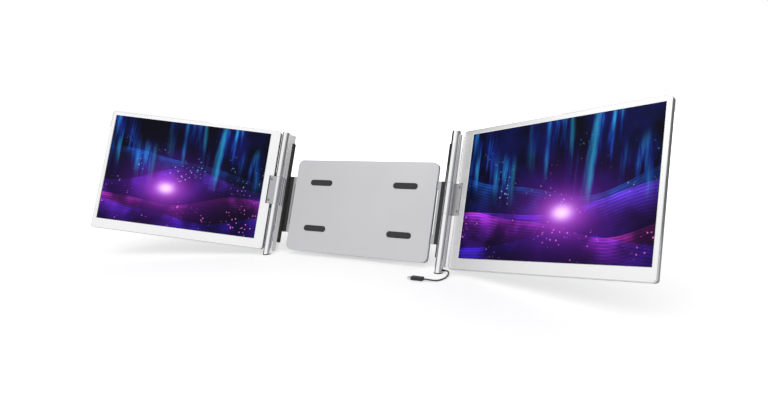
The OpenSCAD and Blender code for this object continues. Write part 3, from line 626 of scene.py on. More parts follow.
@dataclass(frozen=True)
class Brushed(Finish):
    """Brushed metal: fine streaks along one direction."""

    colour: Colour
    roughness: float
    axes: Axes
    edge_r: float = 0.25 * MM
    metal: float = 1.0
    fine_stretch: Point = (60.0, 3200.0, 3200.0)
    wide_stretch: Point = (9.0, 420.0, 420.0)
    cloud_scale: float = 14.0
    grain_depth: float = 0.03 * MM
    polish_lift: float = 0.85

    def polish(self, surface: Surface) -> Value:
        """Share of the piece that is polished instead, from 0 to 1."""
        return 0.0

    def dress(self, surface: Surface) -> None:
        """Noise stretched along the brushing, in colour, roughness and bump; the colour is also lightened
        on the edges, partly as wear and partly as a painted highlight.

        Args:
            surface: the nodes of the material.
        """
        fine = surface.noise(1.0, 3, surface.local(self.axes, self.fine_stretch))
        wide = surface.noise(1.0, 2, surface.local(self.axes, self.wide_stretch))
        cloud = surface.noise(self.cloud_scale, 2)
        eased = surface.eased(self.edge_r)
        polish = self.polish(surface)
        grain = fine * (1.0 - polish)
        # 0.18 * edge lightens the edges in the colour: partly wear, partly a painted highlight
        level = 0.12 * grain + 0.10 * wide + 0.06 * cloud + 0.18 * surface.edge(eased)
        surface.set(
            Base_Color=surface.tint(self.colour, level + (0.86 + self.polish_lift * polish)),
            Metallic=(1.0 - self.metal) * polish + self.metal,
            Roughness=0.16 * (grain - 0.5) + 0.06 * (cloud - 0.5)
            + (self.roughness - 0.14 * polish),
            Normal=surface.bump(grain, self.grain_depth, 0.5, eased),
        )


@dataclass(frozen=True)
class Hinged(Brushed):
    """A brushed leaf whose barrel is polished like the column that it turns in."""

    barrel_r: float = 8.4 * MM
    fade: float = 0.2 * MM

    def polish(self, surface: Surface) -> Value:
        """1 within the barrel's radius of the hinge axis.

        Args:
            surface: the nodes of the material.

        Returns:
            The share, from 0 to 1.
        """
        spoke = surface.local(self.axes, (0.0, 1.0, 1.0))
        far = surface.vector("LENGTH", spoke)
        return 1.0 - far.step(self.barrel_r, self.barrel_r + self.fade)


@dataclass(frozen=True)
class Polished(Finish):
    """Polished metal with hairlines and a few soft smudges."""

    colour: Colour
    roughness: float
    axes: Axes
    edge_r: float = 0.3 * MM
    hair_stretch: Point = (4200.0, 40.0, 40.0)
    hair_depth: float = 0.002 * MM
    smudge_scale: float = 26.0

    def dress(self, surface: Surface) -> None:
        """Hairlines run round the piece, so the long reflections stay clean.

        Args:
            surface: the nodes of the material.
        """
        hair = surface.noise(1.0, 2, surface.local(self.axes, self.hair_stretch))
        smudge = surface.noise(self.smudge_scale, 4).step(0.5, 0.75)
        eased = surface.eased(self.edge_r)
        surface.set(
            Base_Color=surface.tint(self.colour, 0.97 + 0.05 * hair),
            Metallic=1.0,
            Roughness=self.roughness + 0.05 * smudge + 0.05 * (hair - 0.4).most(0.0),
            Normal=surface.bump(hair, self.hair_depth, 0.3, eased),
        )


@dataclass(frozen=True)
class Rubber(Finish):
    """Matte rubber with a fine tooth and a dusting of grey."""

    colour: Colour = (0.02, 0.02, 0.021)
    roughness: float = 0.62
    tooth_scale: float = 1900.0
    tooth_depth: float = 0.08 * MM
    dust_scale: float = 70.0

    def dress(self, surface: Surface) -> None:
        """Tooth in the bump, dust in the colour.

        Args:
            surface: the nodes of the material.
        """
        tooth = surface.noise(self.tooth_scale, 3)
        dust = surface.noise(self.dust_scale, 5).step(0.5, 0.8)
        lighter = tuple(c * 1.7 + 0.01 for c in self.colour)
        surface.set(
            Base_Color=surface.blend(dust * 0.6, self.colour, lighter),
            Roughness=self.roughness + 0.12 * (tooth - 0.5) + 0.08 * dust,
            Normal=surface.bump(tooth, self.tooth_depth, 0.7),
        )


@dataclass(frozen=True)
class Moulded(Finish):
    """Moulded plastic: spark-eroded texture and an even colour."""

    colour: Colour
    roughness: float = 0.42
    cell_scale: float = 1400.0
    cell_depth: float = 0.05 * MM
    cloud_scale: float = 60.0

    def dress(self, surface: Surface) -> None:
        """Shallow cells in the bump, slight shade in the colour.

        Args:
            surface: the nodes of the material.
        """
        cell = surface.noise(self.cell_scale, 4)
        cloud = surface.noise(self.cloud_scale, 2)
        surface.set(
            Base_Color=surface.tint(self.colour, 0.94 + 0.08 * cloud + 0.05 * cell),
            Roughness=self.roughness + 0.10 * (cell - 0.5),
            Normal=surface.bump(cell, self.cell_depth, 0.6),
        )


@dataclass(frozen=True)
class CircuitBoard(Finish):
    """Solder mask over copper: straight traces show as paler lines."""

    colour: Colour
    axes: Axes
    run_pitch: float = 1.6 * MM
    rung_pitch: float = 2.1 * MM
    trace_w: float = 0.5 * MM
    trace_h: float = 0.03 * MM
    patch_scale: float = 90.0

    def dress(self, surface: Surface) -> None:
        """Traces are the low parts of two saw-tooth runs, broken up by noise.

        Args:
            surface: the nodes of the material.
        """
        patch = surface.noise(self.patch_scale, 1).step(0.48, 0.52)
        fade = 1.3 * self.trace_w
        runs = surface.dot(self.axes.across).wrap(self.run_pitch).step(self.trace_w, fade)
        rungs = surface.dot(self.axes.along).wrap(self.rung_pitch).step(self.trace_w, fade)
        trace = 1.0 - (patch * runs + (1.0 - patch) * rungs)
        copper = tuple(c * 2.1 + 0.01 for c in self.colour)
        surface.set(
            Base_Color=surface.blend(trace * 0.7, self.colour, copper),
            Roughness=0.28 + 0.1 * trace,
            Normal=surface.bump(trace, self.trace_h, 0.5),
        )


@dataclass(frozen=True)
class Fold:
    """One fold of light in a picture.

    Its crest runs at height + swell * sin(turns * u + start), with u from 0 to 1.
    """

    width: float
    colour: Colour
    power: float
    height: float
    swell: float
    turns: float
    start: float


@dataclass(frozen=True)
class Halo:
    """One part of a glow: power * e^(-fall * distance^2)."""

    colour: Colour
    fall: float
    power: float


@dataclass(frozen=True)
class Picture(Finish):
    """A lit picture under matt glass: hanging veils of blue light over folds of violet."""

    axes: Axes
    width: float
    height: float
    folds: tuple[Fold, ...]
    glow_place: tuple[float, float]
    rim: float = 1.4 * MM
    rim_fade: float = 1.4
    second_turns: float = 2.3
    second_start: float = 1.7
    second_swell: float = 0.28
    crest_share: float = 0.05
    ripples: float = 46.0
    cloud_scale: float = 13.0
    spark_scale: float = 150.0
    drift_scale: float = 22.0
    flatness: float = 2.2
    halos: tuple[Halo, ...] = (
        Halo(rgb("8a2be8"), 8.0, 0.30), Halo(rgb("e463f0"), 38.0, 0.55), Halo(rgb("fff0ff"), 240.0, 0.8),
    )

    def dress(self, surface: Surface) -> None:
        """Sums the ground, the veils, the folds and the glow inside a dark rim.

        Args:
            surface: the nodes of the material.
        """
        u = self._share(surface, self.axes.along, self.width)
        v = self._share(surface, self.axes.across, self.height)
        cloud = surface.noise(self.cloud_scale, 3)
        lights = [self._ground(surface, u, v, cloud), self._veils(surface, v, cloud)]
        lights += [self._fold(surface, fold, u, v, cloud) for fold in self.folds]
        light = reduce(surface.sum, [*lights, self._glow(surface, u, v), self._sparks(surface, v)])
        surface.set(
            Base_Color=(0.003, 0.003, 0.005),
            Roughness=0.3,
            Specular_IOR_Level=0.04,
            Emission_Color=surface.tint(light, self._window(u, v)),
            Emission_Strength=1.0,
        )

    def _share(self, surface: Surface, axis: Point, length: float) -> Link:
        """Place along one side of the picture, from 0 to 1."""
        return (surface.dot(axis) - float(np.dot(self.axes.place, axis))) * (1.0 / length)

    def _window(self, u: Link, v: Link) -> Link:
        """1 inside the picture and 0 in its rim.

        Args:
            u: place along the picture, from 0 to 1.
            v: place up the picture, from 0 to 1.

        Returns:
            The level, from 0 to 1.
        """
        rim_u, rim_v = self.rim / self.width, self.rim / self.height
        in_u = (0.5 - (u - 0.5).size()).step(rim_u, rim_u * self.rim_fade)
        in_v = (0.5 - (v - 0.5).size()).step(rim_v, rim_v * self.rim_fade)
        return in_u * in_v

    def _ground(self, surface: Surface, u: Link, v: Link, cloud: Link) -> Link:
        """Near-black navy that lifts to a deep blue in clouds and to violet low down.

        Args:
            surface: the nodes of the material.
            u: place along the picture, from 0 to 1.
            v: place up the picture, from 0 to 1.
            cloud: slow noise, from 0 to 1.

        Returns:
            The ground's light.
        """
        violet = (0.9 - v + 0.5 * (cloud - 0.5)).step(0.1, 1.1)
        deep = surface.blend(violet, rgb("0a0f4a"), rgb("22085a"))
        return surface.tint(deep, 0.04 + 0.9 * cloud.step(0.45, 0.72) + 0.04 * u)

    def _veils(self, surface: Surface, v: Link, cloud: Link) -> Link:
        """Upright streaks: noise stretched along the height, strongest in the upper half.

        Args:
            surface: the nodes of the material.
            v: place up the picture, from 0 to 1.
            cloud: slow noise, from 0 to 1.

        Returns:
            The veils' light.
        """
        streak = surface.noise(1.0, 5, surface.local(self.axes, (52.0, 5.0, 1.0)))
        broad = surface.noise(1.0, 1, surface.local(self.axes, (13.0, 6.0, 1.0)))
        height = (v + 0.5 * (broad - 0.5)).step(0.34, 0.74)
        power = streak.step(0.44, 0.68) * broad.step(0.42, 0.60) * height
        hue = surface.blend(streak.step(0.48, 0.66), rgb("1a3fe6"), rgb("39c3f6"))
        return surface.tint(hue, power * (0.2 + 0.9 * cloud))

    def _fold(self, surface: Surface, fold: Fold, u: Link, v: Link, cloud: Link) -> Link:
        """A fold of light: a crisp upper edge on two waves, and a long soft fall below it.

        Args:
            surface: the nodes of the material.
            fold: which fold.
            u: place along the picture, from 0 to 1.
            v: place up the picture, from 0 to 1.
            cloud: slow noise, from 0 to 1.

        Returns:
            The fold's light.
        """
        wave = (u * fold.turns + fold.start).sin() * fold.swell
        second = (u * (fold.turns * self.second_turns) + fold.start * self.second_start).sin()
        second = second * (fold.swell * self.second_swell)
        drop = fold.height + wave + second - v
        tail = (drop.most(0.0) * (-1.0 / fold.width)).exp()
        edge = (drop * (1.0 / (self.crest_share * fold.width))).step(-1.0, 1.0)
        streak = 0.5 + surface.noise(1.0, 3, surface.local(self.axes, (9.0, 120.0, 1.0)))
        ripple = ((drop * self.ripples).wrap(1.0) - 0.5).size().step(0.28, 0.5)
        share = (0.10 + 1.0 * cloud.step(0.42, 0.7)) * (0.55 + 0.9 * ripple)
        return surface.tint(fold.colour, tail * edge * streak * share * fold.power)

    def _sparks(self, surface: Surface, v: Link) -> Link:
        """Points of light: the hearts of a few cells, in drifts and mostly low down.

        Args:
            surface: the nodes of the material.
            v: place up the picture, from 0 to 1.

        Returns:
            The sparks' light.
        """
        flat = surface.local(self.axes, (1.0, 1.0, 0.0))
        inputs = {"Vector": flat, "Scale": self.spark_scale}
        cell = surface.add("ShaderNodeTexVoronoi", inputs, "Distance")
        drift = surface.noise(self.drift_scale, 3).step(0.52, 0.66) * (1.15 - v).step(0.2, 0.7)
        hue = surface.blend(v.step(0.25, 0.6), rgb("ff7be6"), rgb("7fd4ff"))
        return surface.tint(hue, (1.0 - cell.step(0.08, 0.28)) * drift * 0.8)

    def _glow(self, surface: Surface, u: Link, v: Link) -> Link:
        """The sum of the halos, from the widest to the heart, each wider than it is high.

        Args:
            surface: the nodes of the material.
            u: place along the picture, from 0 to 1.
            v: place up the picture, from 0 to 1.

        Returns:
            The glow's light.
        """
        du = (u - self.glow_place[0]) * (self.width / self.height)
        dv = v - self.glow_place[1]
        far = du * du + self.flatness * (dv * dv)
        lights = [surface.tint(h.colour, (far * -h.fall).exp() * h.power) for h in self.halos]
        return reduce(surface.sum, lights)


# Width, colour and power, which the folds of both pictures share
FOLD_LOOKS = (
    (0.07, rgb("1c74ea"), 0.55), (0.09, rgb("7a2cf0"), 0.95),
    (0.06, rgb("e03cc8"), 0.80), (0.07, rgb("3a27dc"), 0.90),
)
# Height, swell, turns and start of each picture's own crests
RIGHT_CRESTS = (
    (0.56, 0.10, 4.4, 2.1), (0.42, 0.10, 3.2, 3.9), (0.27, 0.08, 5.0, 1.0), (0.13, 0.06, 4.1, 5.2),
)
LEFT_CRESTS = (
    (0.60, 0.09, 3.8, 0.8), (0.44, 0.10, 4.0, 5.6), (0.28, 0.07, 4.6, 3.3), (0.14, 0.06, 5.0, 1.8),
)


class Finishes:
    """Every finish of the object, laid along one layout."""

    def __init__(self, layout: Layout) -> None:
        """Makes each finish, most of them named after the material slot that they dress.

        Args:
            layout: where the columns and displays stand.
        """
        axes = layout.column_axes(Side.RIGHT)
        self.bezels = {
            side: Rimmed(
                f"satin_bezel_{side.word}", rgb("f4f4f5"), 0.32, 0.72,
                axes=layout.panel_axes(side), width=layout.panel_w, height=layout.panel_h,
            )
            for side in Side
        }
        self.shell = Anodised("grey_shell", rgb("7e8083"), 0.38, 0.6)
        self.front = Anodised("frame_silver", rgb("cfcfd2"), 0.36, 0.6)
        self.rear = Anodised("frame_grey", rgb("85878a"), 0.40, 0.6)
        self.stand = Anodised("stand_silver", rgb("cfcfd1"), 0.34, 0.7)
        self.column = Polished("polished_column", (0.86, 0.86, 0.87), 0.09, axes)
        self.cap = Polished("polished_cap", (0.88, 0.88, 0.89), 0.12, axes)
        self.lip = Polished("bright_lip", (0.95, 0.95, 0.96), 0.18, axes, 0.1 * MM)
        self.leaves = {
            side: Hinged(
                f"satin_leaf_{side.word}", rgb("b5b5b7"), 0.36, layout.column_axes(side), metal=0.35
            )
            for side in Side
        }
        self.arm = Brushed("arm_steel", rgb("a9aaac"), 0.36, axes)
        self.pin = Brushed("pin_steel", rgb("b2b3b5"), 0.22, axes)
        self.spring = Brushed("spring_steel", rgb("8d8e90"), 0.30, axes)
        self.socket = Brushed("socket_steel", rgb("c9cacc"), 0.25, axes)
        self.screw = Brushed("screw_steel", rgb("4a4b4e"), 0.34, axes)
        self.leaf_screw = Brushed("leaf_screw_steel", rgb("8c8d90"), 0.34, axes, metal=0.5)
        self.rubber = Rubber("black_rubber")
        self.jacket = Rubber("lead_jacket", rgb("3c3d40"), 0.5)
        self.plug = Moulded("plug_black", rgb("17181a"), 0.4)
        self.nylon = Moulded("nylon", rgb("e6e2d4"), 0.45)
        self.speaker = Moulded("speaker_black", rgb("121213"), 0.5)
        self.key = Moulded("button_grey", rgb("55575b"), 0.36)
        self.mark = Moulded("key_mark", rgb("d8d9db"), 0.5)
        self.board = CircuitBoard("circuit_board", rgb("1c5f38"), axes)
        self.pictures = {
            side: Picture(
                f"picture_{side.word}",
                layout.picture_axes(side),
                layout.picture_w,
                layout.picture_h,
                tuple(Fold(*look, *crest) for look, crest in zip(FOLD_LOOKS, crests)),
                glow,
            )
            for side, crests, glow in (
                (Side.LEFT, LEFT_CRESTS, (0.40, 0.36)),
                (Side.RIGHT, RIGHT_CRESTS, (0.58, 0.34)),
            )
        }


# ---------------------------------------------------------------------------
# Surfaces
# ---------------------------------------------------------------------------


def put(name: str, data: bpy.types.ID) -> bpy.types.Object:
    """Makes an object of some data and adds it to the scene.

    Args:
        name: the object's name.
        data: its mesh, lamp or camera.

    Returns:
        The new object, at the origin.
    """
    thing = bpy.data.objects.new(name, data)
    bpy.context.scene.collection.objects.link(thing)
    return thing


def make_mesh(
    name: str, points: np.ndarray, faces: Faces, finish: Finish, smooth: float = 40.0
) -> bpy.types.Object:
    """Makes an object from points and faces, with its normals outwards.

    Args:
        name: the piece's name.
        points: an array of x, y, z rows.
        faces: lists of point numbers.
        finish: the finish it wears.
        smooth: edges flatter than this many degrees are shaded smooth.

    Returns:
        The new object, at the origin.
    """
    mesh = bpy.data.meshes.new(name)
    mesh.from_pydata(points.reshape(-1, 3).tolist(), [], faces)
    mesh.update()
    mesh.materials.append(finish.material)
    tidy_normals(mesh)
    mesh.shade_smooth()
    mesh.set_sharp_from_angle(angle=math.radians(smooth))
    return put(name, mesh)


def tidy_normals(mesh: bpy.types.Mesh) -> None:
    """Merges doubled points and turns every face outwards.

    Args:
        mesh: the mesh to mend.
    """
    grid = bmesh.new()
    grid.from_mesh(mesh)
    bmesh.ops.remove_doubles(grid, verts=grid.verts, dist=1e-7)
    bmesh.ops.recalc_face_normals(grid, faces=grid.faces)
    grid.to_mesh(mesh)
    grid.free()


def grid_faces(rows: int, columns: int, close_rows: bool) -> Faces:
    """Four-sided faces of a grid of closed rings, row by row.

    Args:
        rows: number of rings.
        columns: points in a ring.
        close_rows: joins the last ring to the first.

    Returns:
        A list of faces.
    """
    r = np.arange(rows if close_rows else rows - 1)
    rr, cc = np.meshgrid(r, np.arange(columns), indexing="ij")
    r2, c2 = (rr + 1) % rows, (cc + 1) % columns
    corners = [rr * columns + cc, rr * columns + c2, r2 * columns + c2, r2 * columns + cc]
    return np.stack(corners, axis=-1).reshape(-1, 4).tolist()


def closed(rings: np.ndarray) -> tuple[np.ndarray, Faces]:
    """Closes a grid of rings into a solid: the rings are joined and the two ends filled.

    Args:
        rings: an array of rings by points by x, y, z.

    Returns:
        The solid's points and faces.
    """
    rows, columns = rings.shape[:2]
    first = list(range(columns))
    last = [(rows - 1) * columns + i for i in first]
    return rings.reshape(-1, 3), grid_faces(rows, columns, False) + [first[::-1], last]


def together(parts: Sequence[tuple[np.ndarray, Faces]]) -> tuple[np.ndarray, Faces]:
    """Joins several solids' points and faces into one list of each.

    Args:
        parts: the points and faces of each solid.

    Returns:
        The points and faces of them all.
    """
    starts = np.cumsum([0] + [len(points) for points, _ in parts[:-1]])
    faces = [
        [number + int(start) for number in face]
        for start, (_, part) in zip(starts, parts)
        for face in part
    ]
    return np.concatenate([points for points, _ in parts]), faces


def oblong(half_w: float, half_h: float, radius: float, steps: int = 8) -> np.ndarray:
    """Outline of a round-cornered rectangle round the origin, as two columns.

    Each corner is a quarter circle of the radius round (half_w - radius, half_h - radius).

    Args:
        half_w: half the width.
        half_h: half the height.
        radius: the corners' radius.
        steps: spans in a corner.

    Returns:
        The outline's points, anticlockwise.
    """
    turn = np.linspace(0, math.pi / 2, steps + 1)
    angle = (turn[None, :] + np.arange(4)[:, None] * math.pi / 2).reshape(-1)
    signs = np.repeat([(1, 1), (-1, 1), (-1, -1), (1, -1)], steps + 1, axis=0)
    middle = signs * np.array([half_w - radius, half_h - radius])
    return middle + radius * np.stack([np.cos(angle), np.sin(angle)], axis=-1)


def smooth_route(points: np.ndarray, steps: int) -> np.ndarray:
    """Catmull-Rom curve through points: each span is the cubic that meets its neighbours' slopes.

    Args:
        points: the points to pass through.
        steps: spans between two of them.

    Returns:
        The points of the curve.
    """
    padded = np.concatenate([points[:1], points, points[-1:]])
    t = np.linspace(0, 1, steps, endpoint=False)[None, :, None]
    a, b, c, d = (padded[i : len(points) - 1 + i][:, None, :] for i in range(4))
    curve = 0.5 * (
        2 * b + (c - a) * t + (2 * a - 5 * b + 4 * c - d) * t**2 + (3 * b - a - 3 * c + d) * t**3
    )
    return np.concatenate([curve.reshape(-1, 3), points[-1:]])


def rings_along(path: np.ndarray, radii: np.ndarray, sides: int) -> np.ndarray:
    """Circles square to a path: centre + radius (cos w across + sin w up), with up near +Z.

    Args:
        path: the circles' centres.
        radii: the radius of each.
        sides: points in a circle.

    Returns:
        An array of circles by points by x, y, z.
    """
    ahead = np.gradient(path, axis=0)
    ahead /= np.linalg.norm(ahead, axis=1, keepdims=True)
    across = np.cross(ahead, [0.0, 0.0, 1.0])
    across /= np.linalg.norm(across, axis=1, keepdims=True)
    up = np.cross(across, ahead)
    w = np.linspace(0, 2 * math.pi, sides, endpoint=False)[None, :, None]
    circle = np.cos(w) * across[:, None, :] + np.sin(w) * up[:, None, :]
    return path[:, None, :] + radii[:, None, None] * circle


def wear(frame: dict, finish: Finish, *names: str) -> None:
    """Puts a finish on solids that keep their own shape.

    Args:
        frame: the loaded solids.
        finish: the finish to put on.
        names: the solids' nodes.
    """
    for name in names:
        slots = frame["nodes"][name].data.materials
        slots.clear()
        slots.append(finish.material)


# ---------------------------------------------------------------------------
# Fasteners
# ---------------------------------------------------------------------------


@dataclass(frozen=True)
class Screw:
    """A cap screw with a hex socket: lengths run from the seat under its head."""

    head_d: float
    head_t: float
    shank_d: float
    shank_l: float
    sides: int = 48
    socket_share: float = 0.46
    socket_depth: float = 0.7
    ease: float = 0.18 * MM
    thread_pitch: float = 0.45 * MM
    thread_depth: float = 0.09 * MM
    tip_r: float = 0.01 * MM

    def rings(self) -> tuple[np.ndarray, np.ndarray, np.ndarray]:
        """The screw's surface as radii, angles and heights.

        The head is turned, with an eased rim. The socket is a hexagon, whose radius at an angle
        is its inner radius divided by the cosine of the angle to the nearest flat. The shank's
        radius is a triangle wave, for the thread.

        Returns:
            Radii for each ring and angle, the angles, and each ring's height.
        """
        w = np.linspace(0, 2 * math.pi, self.sides, endpoint=False)
        sixth = math.pi / 3
        flat = self.socket_share * self.head_d / 2
        hexagon = flat / np.cos((w + sixth / 2) % sixth - sixth / 2)
        rim = self.head_d / 2
        floor = self.head_t * (1 - self.socket_depth)
        count = max(4, int(2 * self.shank_l / self.thread_pitch))
        along = np.linspace(0.0, 1.0, count)
        thread = self.shank_d / 2 - self.thread_depth * (np.arange(count) % 2)
        turned = [rim - self.ease, rim, rim, self.shank_d / 2, *thread, self.tip_r]
        radii = [w * 0 + self.tip_r, hexagon, hexagon, *(w * 0 + r for r in turned)]
        head = [floor, floor, self.head_t, self.head_t, self.head_t - self.ease, 0.0, 0.0]
        heights = [*head, *(-self.shank_l * along), -self.shank_l]
        return np.array(radii), w, np.array(heights)

    def solid(self, place: Placer, u: float, v: float) -> tuple[np.ndarray, Faces]:
        """One screw: place turns (u, v, height) into points of the frame.

        Args:
            place: turns (u, v, height) into points of the frame.
            u: the screw's place along.
            v: the screw's place across.

        Returns:
            The screw's points and faces.
        """
        radii, w, heights = self.rings()
        height = np.broadcast_to(heights[:, None], radii.shape)
        return closed(place(u + radii * np.cos(w), v + radii * np.sin(w), height))

    def group(self, place: Placer, spots: Sequence[tuple[float, float]]) -> tuple[np.ndarray, Faces]:
        """Several screws of one face as one set of points and faces."""
        return together([self.solid(place, u, v) for u, v in spots])


# ---------------------------------------------------------------------------
# Sub-assemblies
# ---------------------------------------------------------------------------


@dataclass
class Lead:
    """The captive lead: strain relief, cord, plug body and plug shell."""

    layout: Layout
    finishes: Finishes
    diameter: float = 2.8 * MM
    relief_l: float = 5 * MM
    relief_root_l: float = 3 * MM
    relief_r: float = 2.2 * MM
    relief_rings: int = 4
    relief_steps: int = 60
    relief_seat: float = 1.4
    relief_end_gap: float = 0.1 * MM
    relief_dip: float = 0.16 * MM
    relief_dip_level: float = -0.2
    relief_sides: int = 28
    cord_sides: int = 20
    route_steps: int = 8
    plug_l: float = 22 * MM
    plug_w: float = 11 * MM
    plug_h: float = 6.4 * MM
    plug_corner_r: float = 2.3 * MM
    plug_ease: float = 0.9 * MM
    plug_steps: int = 46
    plug_ease_share: float = 0.14
    groove: float = 0.25 * MM
    groove_places: tuple[float, ...] = (0.3, 0.4, 0.5)
    groove_spread: float = 0.018
    route: tuple[Point, ...] = (
        (0, 0, 5.2), (2.5, 0, 5.2), (5, -1, 4.9), (7.2, -3.4, 4.2), (8.8, -7, 3.3),
        (9.9, -11.5, 2.4), (10.6, -16.5, 1.8), (10.9, -22, 1.6), (10.8, -27.5, 1.6),
        (10.2, -32.5, 1.6), (8.8, -37.5, 1.6), (6.4, -42, 1.6), (3, -45.6, 1.7),
        (-1.4, -48, 2), (-6.5, -49.4, 2.6), (-11.5, -50, 3.1), (-16, -50, 3.2), (-20, -50, 3.2),
    )

    @property
    def exit(self) -> np.ndarray:
        """The point of the floor under the place where the cord leaves the relief.

        Returns:
            The point.
        """
        lay = self.layout
        foot = lay.on_column(Side.RIGHT, np.array(0.0), np.array(0.0), np.array(-lay.foot_drop))
        return np.array([foot[0] + lay.column_r + self.relief_l, foot[1], 0.0])

    def build(self, frame: dict) -> None:
        """Args:
            frame: the loaded solids.
        """
        path = smooth_route(self.exit + np.array(self.route) * MM, self.route_steps)
        radius = np.full(len(path), self.diameter / 2)
        points, faces = closed(rings_along(path, radius, self.cord_sides))
        cord = make_mesh("lead_cord", points, faces, self.finishes.jacket)
        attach(cord, "right_arm")
        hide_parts("lead")
        relief = self._relief()
        plug = self._plug(path[-1])
        wear(frame, self.finishes.socket, "plug_shell")
        length = float(np.linalg.norm(np.diff(path, axis=0), axis=1).sum())
        LOG.info("lead %.1f mm long, %s and %s", length / MM, relief.name, plug.name)

    def _relief(self) -> bpy.types.Object:
        """Tapered relief with rings: the radius falls evenly and dips at each ring.

        Returns:
            The relief, riding on the right arm.
        """
        whole = self.relief_l + self.relief_root_l
        start = self.exit + np.array([-whole, 0, self.route[0][2] * MM])
        x = np.linspace(0, whole, self.relief_steps)
        seat = self.relief_root_l * self.relief_seat
        fall = np.clip((x - seat) / (whole - seat), 0, 1)
        end_r = self.diameter / 2 + self.relief_end_gap
        low = np.cos(fall * 2 * math.pi * self.relief_rings) < self.relief_dip_level
        radius = self.relief_r - fall * (self.relief_r - end_r) - self.relief_dip * low * (fall > 0)
        path = start + np.stack([x, 0 * x, 0 * x], axis=-1)
        points, faces = closed(rings_along(path, radius, self.relief_sides))
        relief = make_mesh("lead_relief", points, faces, self.finishes.rubber, smooth=35)
        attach(relief, "right_arm")
        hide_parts("lead_gland")
        return relief

    def _plug(self, end: np.ndarray) -> bpy.types.Object:
        """Plug body: an oblong carried along X.

        Near each end the section draws in along a quarter circle, and three grooves dip in
        bell curves.

        Args:
            end: the cord's last point.

        Returns:
            The plug's body, riding on the right arm.
        """
        x = np.linspace(0, 1, self.plug_steps)
        near_end = (1 - (1 - np.abs(x - 0.5) * 2) / self.plug_ease_share).clip(0, 1)
        inset = self.plug_ease * (1 - np.sqrt(1 - near_end**2))
        past = (x[:, None] - np.array(self.groove_places)) / self.groove_spread
        dips = np.exp(-(past**2)).sum(1)
        take = inset + self.groove * dips
        base = oblong(self.plug_w / 2, self.plug_h / 2, self.plug_corner_r)
        y = base[None, :, 0] * (1 - take / (self.plug_w / 2))[:, None]
        z = base[None, :, 1] * (1 - take / (self.plug_h / 2))[:, None] + self.plug_h / 2
        xs = np.broadcast_to(-x[:, None] * self.plug_l, y.shape)
        rings = np.stack([xs, y, z], axis=-1) + np.array([end[0], end[1], 0.0])
        points, faces = closed(rings)
        plug = make_mesh("plug_grip", points, faces, self.finishes.plug, smooth=30)
        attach(plug, "right_arm")
        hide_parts("plug_body")
        return plug


